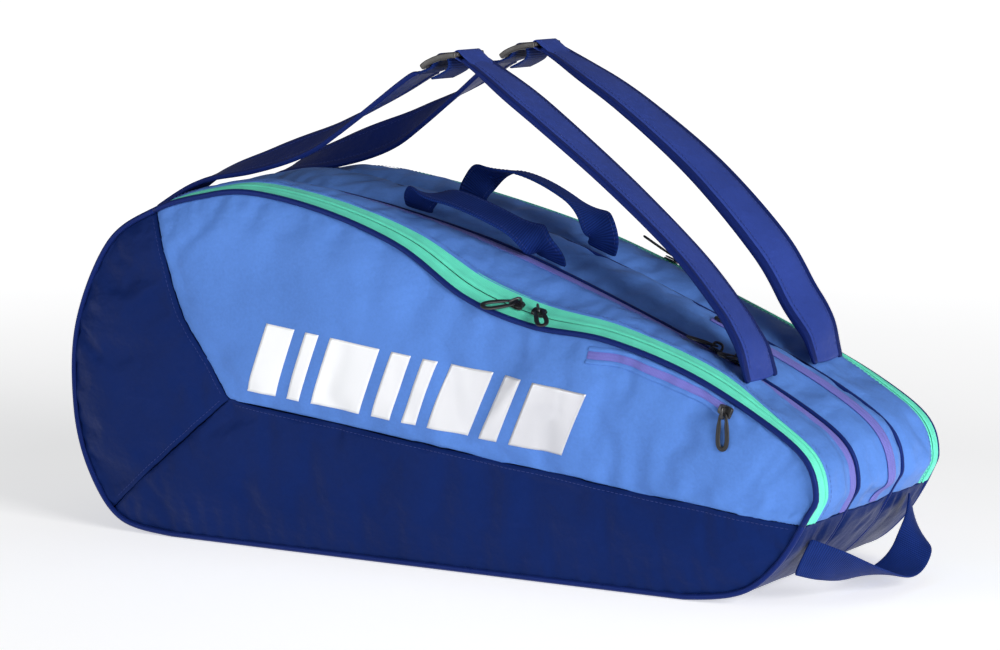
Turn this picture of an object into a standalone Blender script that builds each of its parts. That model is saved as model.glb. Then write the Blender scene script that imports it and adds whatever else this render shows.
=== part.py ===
"""Racket tournament bag: three lobed compartments, two zipped mouths, two padded straps.

Metres, +Z up. +X runs from the tall head end to the narrow handle end, the front panel faces -Y,
and the origin is the centre of the base, on the floor. The bag is sewn from flat panels, so each
panel, cord, tape and strap is its own thin solid.
"""

import math

import bmesh
import bpy
import numpy as np
from mathutils import Matrix, Vector

# ---------------------------------------------------------------- driving dimensions
DEPTH = 0.250  # between the seams of the front and rear panels
DIVIDER_Y = 0.045  # the two dividers stand this far either side of the middle
WALL = 0.0025  # padded gusset fabric
PANEL = 0.004  # padded front, rear and divider panels
GAP = 0.0004  # clearance left between two sewn pieces
PANEL_BULGE = 0.008  # how far the front and rear panels swell past their seams
BULGE_RUN = 0.050  # distance from the seam over which they swell
SIDE_LOBE = 0.008  # swell of the front and rear gussets between their seams
CENTRE_LOBE = 0.011  # swell of the centre gusset
END_FLATTENING = 0.7  # share of the side lobes' swell lost at the handle end
ZIP_WIDTH = 0.028  # main zip, both tapes
TAPE = 0.0015  # thickness of a zip tape
SEAM_CORD = 0.0026  # radius of the cord piped round the outer panels
DIVIDER_CORD = 0.0024  # radius of the cord piped along each divider
WEBBING = 0.038  # width of the handle and end-loop webbing
WEBBING_THICK = 0.0022
PAD_WIDTH = 0.055
PAD_THICK = 0.008
LOWER_STRAP_WIDTH = 0.040
LOWER_STRAP_THICK = 0.0025
STRAP_Y = 0.065  # the two shoulder straps stand this far either side of the middle

# The side outline from the base at the head end, over the top, to the base at the handle end:
# x, height at the front panel, height from the front divider to the rear panel. The front panel
# has a waist in its top line that the rest of the bag doesn't have.
OUTLINE = [
    (-0.270, 0.000, 0.000),
    (-0.328, 0.010, 0.010),
    (-0.361, 0.050, 0.050),
    (-0.377, 0.112, 0.112),
    (-0.373, 0.190, 0.190),
    (-0.336, 0.266, 0.266),
    (-0.284, 0.299, 0.299),
    (-0.232, 0.314, 0.314),
    (-0.179, 0.320, 0.320),
    (-0.100, 0.307, 0.309),
    (-0.021, 0.280, 0.292),
    (0.045, 0.240, 0.274),
    (0.110, 0.220, 0.251),
    (0.181, 0.213, 0.223),
    (0.255, 0.192, 0.192),
    (0.320, 0.161, 0.161),
    (0.366, 0.130, 0.130),
    (0.378, 0.098, 0.098),
    (0.368, 0.072, 0.072),
    (0.345, 0.036, 0.036),
    (0.312, 0.010, 0.010),
    (0.258, 0.000, 0.000),
]
ZIP_START_POINT = 6  # the main zips run between these two outline points
ZIP_END_POINT = 18
STEPS = 2  # steps between outline points
BASE_STEPS = 4

# Seams of the outer panels, in x and z. The end panel, the lower panel and the upper panel meet
# at one point, and the upper panel folds open along the line between the two ends of the zip.
SEAM_MEET = (-0.201, 0.133)
END_SEAM = [(-0.2245, 0.1695), (-0.2485, 0.2030), (-0.2600, 0.2320), (-0.2705, 0.2650)]
CORNER_SEAM_FAR = (-0.419, -0.048)

MAIN_ZIP_Y = 0.110  # centre line of each main zip's coil
FOLD_Y = DEPTH / 2 + PANEL_BULGE + 0.0005  # the fold's axis lies on the panel's outer face

PALE_BLUE = (0.135, 0.270, 0.700)
NAVY = (0.020, 0.045, 0.230)
MINT = (0.160, 0.750, 0.550)
VIOLET = (0.180, 0.190, 0.580)
STRAP_BLUE = (0.045, 0.080, 0.370)
WEBBING_BLUE = (0.012, 0.040, 0.190)
BLACK = (0.012, 0.012, 0.014)
GREY = (0.030, 0.033, 0.038)


# ---------------------------------------------------------------- scene and mesh helpers
def clear_scene():
    for obj in list(bpy.data.objects):
        bpy.data.objects.remove(obj)


def material(name, colour, roughness=0.6, metallic=0.0):
    found = bpy.data.materials.get(name)
    if found:
        return found
    made = bpy.data.materials.new(name)
    made.use_nodes = True
    shader = made.node_tree.nodes["Principled BSDF"]
    shader.inputs["Base Color"].default_value = (*colour, 1.0)
    shader.inputs["Roughness"].default_value = roughness
    shader.inputs["Metallic"].default_value = metallic
    return made


def add_part(name, bm, finish, pivot=(0.0, 0.0, 0.0)):
    """Turns a bmesh in world coordinates into an object whose origin is its pivot.

    The pivot is a point, or a matrix whose y axis is the axis that the part swings about.
    """
    place = pivot if isinstance(pivot, Matrix) else Matrix.Translation(pivot)
    bmesh.ops.recalc_face_normals(bm, faces=bm.faces)
    mesh = bpy.data.meshes.new(name)
    bmesh.ops.transform(bm, matrix=place.inverted(), verts=bm.verts)
    bm.to_mesh(mesh)
    bm.free()
    mesh.materials.append(finish)
    obj = bpy.data.objects.new(name, mesh)
    obj.matrix_world = place
    bpy.context.scene.collection.objects.link(obj)
    return obj


def boolean(obj, cutter, operation):
    cutter.hide_render = True
    cutter.display_type = "WIRE"
    step = obj.modifiers.new(operation.title(), "BOOLEAN")
    step.operation = operation
    step.solver = "EXACT"
    step.object = cutter


def grid_solid(rings, closed=False):
    """Joins equal rings of points into one closed solid, capped at both ends unless closed."""
    bm = bmesh.new()
    rows = [[bm.verts.new(point) for point in ring] for ring in rings]
    size = len(rows[0])
    pairs = list(zip(rows, rows[1:]))
    if closed:
        pairs.append((rows[-1], rows[0]))
    for low, high in pairs:
        for k in range(size):
            after = (k + 1) % size
            bm.faces.new((low[k], low[after], high[after], high[k]))
    if not closed:
        bm.faces.new(rows[0])
        bm.faces.new(rows[-1])
    return bm


def prism(profile, low, high, place=Matrix()):
    """A polygon in x and z, run along y from low to high and then placed."""
    rings = [[place @ Vector((x, y, z)) for x, z in profile] for y in (low, high)]
    return grid_solid(rings)


def inset_polygon(points, distance):
    """Moves each side of a polygon inwards by distance."""
    area = sum(a[0] * b[1] - b[0] * a[1] for a, b in zip(points, points[1:] + points[:1]))
    turn = math.copysign(1.0, area)
    moved = []
    for k, point in enumerate(points):
        before = Vector(point) - Vector(points[k - 1])
        after = Vector(points[(k + 1) % len(points)]) - Vector(point)
        n1 = Vector((-before.y, before.x)).normalized() * turn
        n2 = Vector((-after.y, after.x)).normalized() * turn
        shift = (n1 + n2) * (distance / (1.0 + n1.dot(n2)))
        moved.append(tuple(Vector(point) + shift))
    return moved


def catmull_rom(points, steps):
    """A smooth curve through points; the first and last ones only set the end directions."""
    points = [np.array(point, dtype=float) for point in points]
    curve = []
    for a, b, c, d in zip(points, points[1:], points[2:], points[3:]):
        for k in range(steps):
            u = k / steps
            curve.append(
                0.5 * (2 * b + (c - a) * u + (2 * a - 5 * b + 4 * c - d) * u**2)
                + 0.5 * (3 * b - a - 3 * c + d) * u**3
            )
    curve.append(points[-2])
    return curve


def smooth_path(points, steps):
    """The same through every point, with straight run-outs at the two ends."""
    first = 2 * np.array(points[0]) - np.array(points[1])
    last = 2 * np.array(points[-1]) - np.array(points[-2])
    return [Vector(p) for p in catmull_rom([first, *points, last], steps)]


# ---------------------------------------------------------------- the bag's skin
def closed_outline(height_column):
    points = [(row[0], row[height_column]) for row in OUTLINE]
    reach = 0.060  # makes the curve run level into the base
    before = (points[0][0] + reach, 0.0)
    after = (points[-1][0] - reach, 0.0)
    curve = catmull_rom([before, *points, after], STEPS)
    start, end = curve[-1], curve[0]
    base = [start + (end - start) * k / BASE_STEPS for k in range(1, BASE_STEPS)]
    return np.array(curve + base)


def outward_normals(ring):
    along = np.roll(ring, -1, axis=0) - np.roll(ring, 1, axis=0)
    normals = np.stack([-along[:, 1], along[:, 0]], axis=1)
    return normals / np.linalg.norm(normals, axis=1)[:, None]


FRONT_RING = closed_outline(1)
BODY_RING = closed_outline(2)
FRONT_NORMALS = outward_normals(FRONT_RING)
BODY_NORMALS = outward_normals(BODY_RING)
RING = len(FRONT_RING)
ZIP_START = ZIP_START_POINT * STEPS
ZIP_END = ZIP_END_POINT * STEPS


def smoothstep(value):
    value = min(max(value, 0.0), 1.0)
    return value * value * (3.0 - 2.0 * value)


def ring_sample(table, t):
    low = math.floor(t)
    share = t - low
    return table[low % RING] * (1 - share) + table[(low + 1) % RING] * share


def lobe(y):
    """How far the gusset swells past its seams at depth y."""
    if abs(y) < DIVIDER_Y:
        return CENTRE_LOBE * math.cos(math.pi * y / (2 * DIVIDER_Y))
    across = (abs(y) - DIVIDER_Y) / (DEPTH / 2 - DIVIDER_Y)
    return SIDE_LOBE * math.sin(math.pi * min(across, 1.0))


def station(t, y):
    """Outline point, outward normal and how much of the base this is, at ring place t."""
    front = smoothstep((-DIVIDER_Y - y) / (DEPTH / 2 - DIVIDER_Y))
    point = ring_sample(BODY_RING, t) * (1 - front) + ring_sample(FRONT_RING, t) * front
    normal = ring_sample(BODY_NORMALS, t) * (1 - front) + ring_sample(FRONT_NORMALS, t) * front
    normal = normal / np.linalg.norm(normal)
    return point, normal, smoothstep((-normal[1] - 0.1) / 0.5)


def skin(t, y, lift=0.0):
    """A point lifted off the outer face of the gusset. The base stays flat."""
    point, normal, base = station(t, y)
    out = lobe(y) * (1 - base) + lift
    if abs(y) > DIVIDER_Y:  # the side lobes flatten towards the handle end
        out -= lobe(y) * (1 - base) * END_FLATTENING * smoothstep((point[0] - 0.27) / 0.08)
    return Vector((point[0] + normal[0] * out, y, point[1] + normal[1] * out))


def ring_places(start, end):
    """Ring places from start to end, with half a gap trimmed off each end."""
    if end < start:
        end += RING
    places = [start + 0.01, *range(math.floor(start) + 1, math.ceil(end)), end - 0.01]
    return places


def place_at_x(x, y):
    """Ring place on the top line whose outline point has this x."""
    low, high = float(ZIP_START), float(ZIP_END) - 2 * STEPS
    for _ in range(40):
        middle = (low + high) / 2
        if station(middle, y)[0][0] < x:
            low = middle
        else:
            high = middle
    return low


def band(start, end, depths, thickness, lift=0.0):
    """A strip of the skin between two ring places and across the given depths."""
    rings = []
    for t in ring_places(start, end):
        outer = [skin(t, y, lift) for y in depths]
        inner = [skin(t, y, lift - thickness) for y in reversed(depths)]
        rings.append(outer + inner)
    return grid_solid(rings)


def cord(start, end, y, radius, closed=False):
    """A round cord in a seam. Along the base it is pulled in, so that it stays off the floor."""
    rings = []
    places = range(RING) if closed else ring_places(start, end)
    for t in places:
        _, normal, base = station(t, y)
        centre = skin(t, y, -radius * base)
        out = Vector((normal[0], 0.0, normal[1]))
        ring = []
        for k in range(6):
            angle = math.radians(60 * k)
            ring.append(centre + radius * (out * math.cos(angle) + Vector((0, math.sin(angle), 0))))
        rings.append(ring)
    return grid_solid(rings, closed)


def depths(low, high, count):
    return [low + (high - low) * k / (count - 1) for k in range(count)]


# ---------------------------------------------------------------- outer panels
def inset_ring(y, inset):
    """The outline at depth y, moved inwards, and further along the base to clear its cord."""
    points = []
    for t in range(RING):
        point, normal, base = station(t, y)
        points.append(point - normal * (inset + SEAM_CORD * base))
    return np.array(points)


def seam_distance(point, ring):
    """Distance from a point in x and z to a closed outline."""
    ends = np.roll(ring, -1, axis=0)
    along = ends - ring
    share = ((point - ring) * along).sum(axis=1) / (along * along).sum(axis=1)
    nearest = ring + along * np.clip(share, 0.0, 1.0)[:, None]
    return np.linalg.norm(nearest - point, axis=1).min()


def panel_swell(point, ring):
    near = 1.0 - min(seam_distance(np.array(point), ring) / BULGE_RUN, 1.0)
    return PANEL_BULGE * (1.0 - near * near)


def panel_face(side, point, ring):
    """Depth of the outer face of the front (side -1) or rear (side 1) panel at x and z."""
    return side * (DEPTH / 2 + panel_swell(point, ring))


def panel_disc(side):
    """The whole outer panel as one swollen plate, before its seams divide it."""
    ring = inset_ring(side * DEPTH / 2, WALL + 0.0009)
    spine_low, spine_high = np.array((-0.230, 0.150)), np.array((0.270, 0.095))
    spine = spine_high - spine_low
    bm = bmesh.new()
    rows = {}
    for face, shift in ((0, 0.0), (1, PANEL)):
        rows[face] = []
        for share in (1.0, 0.93, 0.84, 0.70, 0.45):
            row = []
            for point in ring:
                u = np.clip((point - spine_low) @ spine / (spine @ spine), 0.0, 1.0)
                centre = spine_low + spine * u
                x, z = centre + (point - centre) * share
                y = panel_face(side, (x, z), ring) - side * shift
                row.append(bm.verts.new((x, y, z)))
            rows[face].append(row)
        for low, high in zip(rows[face], rows[face][1:]):
            for k in range(RING):
                after = (k + 1) % RING
                bm.faces.new((low[k], low[after], high[after], high[k]))
        bm.faces.new(rows[face][-1])
    for k in range(RING):
        after = (k + 1) % RING
        outer, inner = rows[0][0], rows[1][0]
        bm.faces.new((outer[k], outer[after], inner[after], inner[k]))
    return bm


def outline_corner(t, side):
    return tuple(station(t, side * DEPTH / 2)[0])


def panel_regions(side):
    """The four fabric areas of an outer panel, as polygons in x and z."""
    start, end = outline_corner(ZIP_START, side), outline_corner(ZIP_END, side)
    slope = (end[1] - start[1]) / (end[0] - start[0])
    fold_left = (-0.60, start[1] + slope * (-0.60 - start[0]))
    fold_right = (0.60, start[1] + slope * (0.60 - start[0]))
    return {
        "panel_end": [SEAM_MEET, *END_SEAM, start, fold_left, (-0.60, -0.20), CORNER_SEAM_FAR],
        "panel_lower": [SEAM_MEET, CORNER_SEAM_FAR, (-0.45, -0.20), (0.60, -0.20), fold_right, end],
        "panel_upper": [SEAM_MEET, end, start, *reversed(END_SEAM)],
        "flap_panel": [fold_left, fold_right, (0.60, 0.60), (-0.60, 0.60)],
    }


def panel_piece(name, side, region, finish, pivot=(0.0, 0.0, 0.0)):
    piece = add_part(name, panel_disc(side), finish, pivot)
    low, high = sorted((side * 0.08, side * 0.20))
    cutter = add_part(name + "_area", prism(inset_polygon(region, GAP / 2), low, high), finish)
    boolean(piece, cutter, "INTERSECT")
    return piece


def fold_pivot(side):
    start, end = outline_corner(ZIP_START, side), outline_corner(ZIP_END, side)
    return ((start[0] + end[0]) / 2, side * FOLD_Y, (start[1] + end[1]) / 2)


def build_outer_panels(name, side):
    colours = {
        "panel_end": material("navy_fabric", NAVY, 0.45),
        "panel_lower": material("navy_fabric", NAVY, 0.45),
        "panel_upper": material("blue_fabric", PALE_BLUE, 0.45),
        "flap_panel": material("blue_fabric", PALE_BLUE, 0.45),
    }
    for area, region in panel_regions(side).items():
        pivot = fold_pivot(side) if area == "flap_panel" else (0.0, 0.0, 0.0)
        panel_piece(f"{name}_{area}", side, region, colours[area], pivot)


# ---------------------------------------------------------------- gussets, dividers, seams, tapes
FRONT_EDGE = DEPTH / 2 - 0.0020  # gussets and tapes stop short of the piped cord
TAPE_EDGE = MAIN_ZIP_Y - ZIP_WIDTH / 2 + 0.0005
DIVIDER_EDGE = 0.0030  # gussets stop this far from the middle of a divider
CENTRE_ZIP = (-0.0605, -0.0485)  # depths that the centre pocket's zip takes up
CENTRE_ZIP_X = (-0.200, 0.284)
END_ZIP_HALF = 0.0075
END_ZIP_X = 0.215


def side_depths(side, inner, outer, count):
    return sorted(side * y for y in depths(inner, outer, count))


def build_side_gusset(name, side):
    """Top and base gussets of the front or rear compartment, and its piped seam."""
    blue, navy = material("blue_fabric", PALE_BLUE, 0.45), material("navy_fabric", NAVY, 0.45)
    inner = DIVIDER_Y + DIVIDER_EDGE
    top_depths = side_depths(side, inner, TAPE_EDGE - GAP - 0.0006, 5)
    top = add_part(f"{name}_gusset_top", band(ZIP_START, ZIP_END, top_depths, WALL), blue)
    base_depths = side_depths(side, inner, FRONT_EDGE, 6)
    base = band(ZIP_END, ZIP_START, base_depths, WALL)
    add_part(f"{name}_gusset_base", base, navy)
    piping = material("piping", NAVY, 0.4)
    cord_y = side * (DEPTH / 2 + 0.0012)
    add_part(f"{name}_piping_base", cord(ZIP_END, ZIP_START, cord_y, SEAM_CORD), piping)
    add_part(
        f"{name}_flap_piping", cord(ZIP_START, ZIP_END, cord_y, SEAM_CORD), piping, fold_pivot(side)
    )
    return top


def build_main_zip(name, side):
    """The two tapes of a main zip: one on the gusset, the other on the folding flap."""
    mint = material("mint_zip", MINT, 0.5)
    body = side_depths(side, TAPE_EDGE, MAIN_ZIP_Y - GAP / 2, 3)
    flap = side_depths(side, MAIN_ZIP_Y + GAP / 2, FRONT_EDGE, 3)
    add_part(f"{name}_zip_tape", band(ZIP_START, ZIP_END, body, TAPE), mint)
    add_part(
        f"{name}_flap_zip_tape", band(ZIP_START, ZIP_END, flap, TAPE), mint, fold_pivot(side)
    )


def build_centre_zip(gusset):
    """The centre pocket's zip lies along the front divider's seam, in a slot of the gusset."""
    start, end = (place_at_x(x, CENTRE_ZIP[0]) for x in CENTRE_ZIP_X)
    slot = band(start, end, [CENTRE_ZIP[0] - GAP, CENTRE_ZIP[1] + 0.004], 0.020, 0.010)
    cutter = add_part("centre_zip_slot", slot, material("violet_zip", VIOLET, 0.5))
    boolean(gusset, cutter, "DIFFERENCE")
    tape = band(start + 0.02, end - 0.02, depths(*CENTRE_ZIP, 3), TAPE)
    add_part("centre_zip_tape", tape, material("violet_zip", VIOLET, 0.5))


def build_centre_gusset():
    blue, navy = material("blue_fabric", PALE_BLUE, 0.45), material("navy_fabric", NAVY, 0.45)
    edge = DIVIDER_Y - DIVIDER_EDGE
    across = depths(-edge, edge, 7)
    top = add_part("centre_gusset_top", band(ZIP_START, ZIP_END, across, WALL), blue)
    add_part("centre_gusset_base", band(ZIP_END, ZIP_START, across, WALL), navy)
    start = place_at_x(END_ZIP_X, 0.0)
    end = ZIP_END - 0.15
    width = END_ZIP_HALF + GAP
    slot = band(start, end, depths(-width, width, 3), 0.020, 0.010)
    cutter = add_part("end_zip_slot", slot, material("violet_zip", VIOLET, 0.5))
    boolean(top, cutter, "DIFFERENCE")
    tape = band(start + 0.02, end - 0.02, depths(-END_ZIP_HALF, END_ZIP_HALF, 3), TAPE)
    add_part("end_zip_tape", tape, material("violet_zip", VIOLET, 0.5))


def build_divider(name, side):
    """A padded divider and the cord piped along its seam."""
    y = side * DIVIDER_Y
    ring = inset_ring(y, WALL + 0.0011)
    profile = [tuple(point) for point in ring]
    board = prism(profile, y - PANEL / 2, y + PANEL / 2)
    add_part(f"{name}_divider", board, material("divider", (0.05, 0.06, 0.10), 0.8))
    seam = cord(0, 0, y, DIVIDER_CORD, closed=True)
    add_part(f"{name}_divider_piping", seam, material("piping", NAVY, 0.4))


def build_pocket_zip():
    """The front pocket's zip, laid on the outer face of the front flap."""
    ring = inset_ring(-DEPTH / 2, WALL + 0.0009)
    path = [(0.168, 0.2000), (0.200, 0.1980), (0.235, 0.1885), (0.270, 0.1765), (0.302, 0.1610)]
    half = 0.004
    rings = []
    for x, z in (tuple(p) for p in smooth_path(path, 2)):
        corners = []
        for lift, across in ((0.0024, -half), (0.0024, half), (0.0010, half), (0.0010, -half)):
            point = (x, z + across)
            corners.append(Vector((point[0], panel_face(-1, point, ring) - lift, point[1])))
        rings.append(corners)
    finish = material("violet_zip", VIOLET, 0.5)
    add_part("pocket_zip_tape", grid_solid(rings), finish, fold_pivot(-1))


# ---------------------------------------------------------------- straps
def ribbon(points, side_dirs, width, thickness, neck=None):
    """A flat strip along points; side_dirs gives the direction of its width at each one.

    Neck is "first" or "last": the strip is pressed flat and narrowed towards that end.
    """
    rings = []
    for k, point in enumerate(points):
        before, after = points[max(k - 1, 0)], points[min(k + 1, len(points) - 1)]
        along = (after - before).normalized()
        across = side_dirs[k] - along * side_dirs[k].dot(along)
        across.normalize()
        face = along.cross(across)
        narrow, flat = neck_shares(point, points, neck)
        w, h = across * width / 2 * narrow, face * thickness / 2 * flat
        rings.append([point - w - h, point + w - h, point + w + h, point - w + h])
    return grid_solid(rings)


def neck_shares(point, points, neck):
    """Shares of the full width and thickness at a point of a strip."""
    if neck is None:
        return 1.0, 1.0
    end = points[0] if neck == "first" else points[-1]
    full = smoothstep((point - end).length / NECK_LENGTH)
    return NECK_WIDTH + (1.0 - NECK_WIDTH) * full, NECK_FLAT + (1.0 - NECK_FLAT) * full


def upright_ribbon(profile, y, width, thickness, leans=(0.0, 0.0), neck=None):
    """A strip whose path stands in the plane of depth y, and leans from one angle to another."""
    points = smooth_path([(x, y, z) for x, z in profile], 3)
    side_dirs = []
    for k in range(len(points)):
        lean = leans[0] + (leans[1] - leans[0]) * smoothstep(k / (len(points) - 1))
        side_dirs.append(Vector((0.0, math.cos(lean), math.sin(lean))))
    return ribbon(points, side_dirs, width, thickness, neck)


# A pad is narrowed to NECK_WIDTH and pressed to NECK_FLAT of itself where it is sewn down.
NECK_LENGTH, NECK_WIDTH, NECK_FLAT = 0.020, 0.72, 0.30

# Paths in x and z, from the handle end to the head end. Leans tip a strap's width about its path.
PAD_FOOT = [(0.297, 0.186), (0.290, 0.205), (0.281, 0.220), (0.271, 0.2345)]
PAD_PATH = {
    -1: [(0.2688, 0.2372), (0.229, 0.281), (0.164, 0.3365), (0.097, 0.387), (0.047, 0.4220)],
    1: [(0.2688, 0.2372), (0.241, 0.279), (0.178, 0.342), (0.106, 0.396), (0.050, 0.4295)],
}
PAD_LEAN = {-1: math.radians(-9.0), 1: math.radians(16.0)}
LOWER_PATH = {
    -1: [(-0.0360, 0.4255), (-0.075, 0.4015), (-0.115, 0.3785), (-0.1475, 0.3625)],
    1: [(-0.0330, 0.4295), (-0.070, 0.4045), (-0.112, 0.3805), (-0.1475, 0.3625)],
}
LOWER_FOOT = [(-0.150, 0.3612), (-0.205, 0.343), (-0.262, 0.326), (-0.312, 0.2965)]
LOWER_LEAN = {-1: math.radians(32.0), 1: math.radians(50.0)}
STRAP_AXIS = ((-0.1488, 0.3618), (0.2700, 0.2358))  # a strap swings about this line
LOCK_CENTRE = {-1: (-0.0040, 0.4405), 1: (-0.0010, 0.4445)}
LOCK_SLOPE = math.radians(16.0)
LOCK_HALF = 0.0185
BAR = 0.005
BAR_PITCH = 0.016


def strap_pivot(side):
    return (STRAP_AXIS[0][0], side * STRAP_Y, STRAP_AXIS[0][1])


def lock_frame(side):
    """Local frame of a ladder lock: x along the strap towards the pad, z up."""
    x, z = LOCK_CENTRE[side]
    centre = Matrix.Translation((x, side * STRAP_Y, z))
    return centre @ Matrix.Rotation(-LOCK_SLOPE, 4, "Y")


def lock_pivot(side):
    return tuple(lock_frame(side) @ Vector((BAR_PITCH, 0.0, 0.0)))


def build_strap_feet(name, side):
    """The ends of a shoulder strap that are sewn down and stay with the bag."""
    y = side * STRAP_Y
    pad = upright_ribbon(PAD_FOOT, y, PAD_WIDTH, PAD_THICK, (0.0, PAD_LEAN[side]), "last")
    add_part(f"{name}_pad_foot", pad, material("strap_fabric", STRAP_BLUE, 0.5))
    leans = (LOWER_LEAN[side], 0.0)
    low = upright_ribbon(LOWER_FOOT, y, LOWER_STRAP_WIDTH, LOWER_STRAP_THICK, leans)
    add_part(f"{name}_strap_foot", low, material("strap_fabric", STRAP_BLUE, 0.5))


def tab_loop(side):
    """Webbing from the pad, round the ladder lock's first bar and back, as one flat loop."""
    inner, thick = 0.0039, 0.0016
    middle = inner + thick / 2
    frame = lock_frame(side)
    x, z = PAD_PATH[side][-1]
    sewn = frame.inverted() @ Vector((x + 0.010, side * STRAP_Y, z - 0.0066))
    away = math.atan2(sewn.z, sewn.x - BAR_PITCH)
    path = []
    for degrees in range(90, 271, 30):
        angle = away + math.radians(degrees)
        path.append((BAR_PITCH + middle * math.cos(angle), middle * math.sin(angle)))
    leg = (-0.0014 * math.sin(away), 0.0014 * math.cos(away))
    path.insert(0, (sewn.x + leg[0], sewn.z + leg[1]))
    path.append((sewn.x - leg[0], sewn.z - leg[1]))
    points = [frame @ Vector((x, 0.0, z)) for x, z in path]
    return ribbon(points, [Vector((0, 1, 0))] * len(points), WEBBING, thick)


def build_strap(name, side):
    """The part of a shoulder strap that swings: pad with its tab, and lower strap."""
    fabric = material("strap_fabric", STRAP_BLUE, 0.5)
    pivot = strap_pivot(side)
    y = side * STRAP_Y
    leans = (PAD_LEAN[side], 0.0)
    pad = upright_ribbon(PAD_PATH[side], y, PAD_WIDTH, PAD_THICK, leans, "first")
    pad = add_part(f"{name}_strap_pad", pad, fabric, pivot)
    tab = add_part(f"{name}_tab_loop", tab_loop(side), fabric)
    boolean(pad, tab, "UNION")
    leans = (0.0, LOWER_LEAN[side])
    low = upright_ribbon(LOWER_PATH[side], y, LOWER_STRAP_WIDTH, LOWER_STRAP_THICK, leans)
    add_part(f"{name}_lower_strap", low, fabric, pivot)


def box(low, high, place):
    profile = [(low[0], low[2]), (high[0], low[2]), (high[0], high[2]), (low[0], high[2])]
    return prism(profile, low[1], high[1], place)


def build_ladder_lock(name, side):
    """A three-bar ladder lock, and the end of the lower strap that is threaded round its bar."""
    frame, plastic = lock_frame(side), material("grey_plastic", GREY, 0.45)
    outer = box((-LOCK_HALF, -0.0245, -0.002), (LOCK_HALF, 0.0245, 0.002), frame)
    lock = add_part(f"{name}_ladder_lock", outer, plastic, lock_pivot(side))
    for k, centre in enumerate((-BAR_PITCH / 2, BAR_PITCH / 2)):
        half = (BAR_PITCH - BAR) / 2
        hole = box((centre - half, -0.0205, -0.01), (centre + half, 0.0205, 0.01), frame)
        boolean(lock, add_part(f"{name}_lock_slot_{k}", hole, plastic), "DIFFERENCE")
    path = [(-0.0280, -0.0050), (-0.0190, -0.0046), (-0.0130, -0.0038), (-0.0080, 0.0002)]
    path += [(-0.0040, 0.0040), (0.0010, 0.0044), (0.0050, 0.0005), (0.0060, -0.0050)]
    path += [(0.0030, -0.0096), (-0.0050, -0.0118), (-0.0150, -0.0134)]
    points = smooth_path([tuple(frame @ Vector((x, 0.0, z))) for x, z in path], 2)
    tail = ribbon(points, [Vector((0, 1, 0))] * len(points), WEBBING, 0.0016)
    webbing = material("webbing", WEBBING_BLUE, 0.7)
    add_part(f"{name}_strap_tail", tail, webbing, lock_pivot(side))


# ---------------------------------------------------------------- handles and end loop
def handle_anchor(x, side):
    """Where handle webbing leaves a divider's seam."""
    place = place_at_x(x, side * DIVIDER_Y)
    return skin(place, side * DIVIDER_Y, DIVIDER_CORD + 0.0032)


HANDLE_X = (-0.052, 0.082)
HANDLE_ARCH = [
    (0.00, 0.00),
    (0.00, 0.28),
    (0.07, 0.68),
    (0.25, 0.97),
    (0.47, 1.00),
    (0.72, 0.84),
    (0.93, 0.55),
    (1.00, 0.28),
    (1.00, 0.00),
]  # shares of the way between the anchors and of the height


def build_handle(name, side, height, lean, roll):
    """Webbing out of the seam at two places. Its width turns from along the seam to across.

    Lean tips the arch about the seam, and roll tips the webbing's width about its own path.
    """
    low, high = (handle_anchor(x, side) for x in HANDLE_X)
    seam = (high - low).normalized()
    up = Vector((-seam.z, 0.0, seam.x))
    rise = up * math.cos(lean) + Vector((0.0, math.sin(lean), 0.0))
    flat = rise.cross(seam) * math.cos(roll) - rise * math.sin(roll)
    arch = [tuple((high - low) * u + rise * height * h + low) for u, h in HANDLE_ARCH]
    points = smooth_path(arch, 3)
    side_dirs = []
    for k in range(len(points)):
        u = k / (len(points) - 1)
        turn = math.radians(90) * smoothstep((min(u, 1 - u) - 0.08) / 0.25)
        side_dirs.append(seam * math.cos(turn) + flat * math.sin(turn))
    finish = material("webbing", WEBBING_BLUE, 0.7)
    strip = ribbon(points, side_dirs, WEBBING * 0.8, WEBBING_THICK)
    return add_part(f"{name}_handle", strip, finish, low)


END_LOOP_NEAR = (0.3585, -0.1100, 0.0440)
END_LOOP_FAR = (0.3690, 0.0880, 0.0540)
END_LOOP_PATH = [
    END_LOOP_NEAR,
    (0.372, -0.085, 0.0340),
    (0.382, -0.045, 0.0215),
    (0.388, 0.000, 0.0150),
    (0.391, 0.030, 0.0210),
    (0.388, 0.055, 0.0375),
    END_LOOP_FAR,
]


END_LOOP_PIVOT = (0.3632, -0.1100, 0.0612)  # the upper corner of its near end


def build_end_loop():
    """A loop of webbing across the handle end, with half a twist in it."""
    points = smooth_path(END_LOOP_PATH, 3)
    last = len(points) - 1
    side_dirs = []
    for k in range(len(points)):
        turn = math.radians(75 - 155 * k / last)
        side_dirs.append(Vector((math.cos(turn), 0.0, math.sin(turn))))
    strip = ribbon(points, side_dirs, 0.034, WEBBING_THICK)
    add_part("end_loop", strip, material("webbing", WEBBING_BLUE, 0.7), END_LOOP_PIVOT)


# ---------------------------------------------------------------- zip sliders and pullers
SLIDER = (0.013, 0.010, 0.003)  # length along the zip, width across it, height of the body
CROWN_WIDTH = 0.0034
PULL_PIVOT = (0.0030, 0.0051)  # the puller hangs here: along its own direction, above the base
PULLER = (0.030, 0.009, 0.0020)  # length, width and thickness


def local_frame(point, along, normal):
    """A frame at point: x along the zip, z out of its face."""
    x = along.normalized()
    z = (normal - x * normal.dot(x)).normalized()
    y = z.cross(x)
    turn = Matrix((x, y, z)).transposed().to_4x4()
    return Matrix.Translation(point) @ turn


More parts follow.
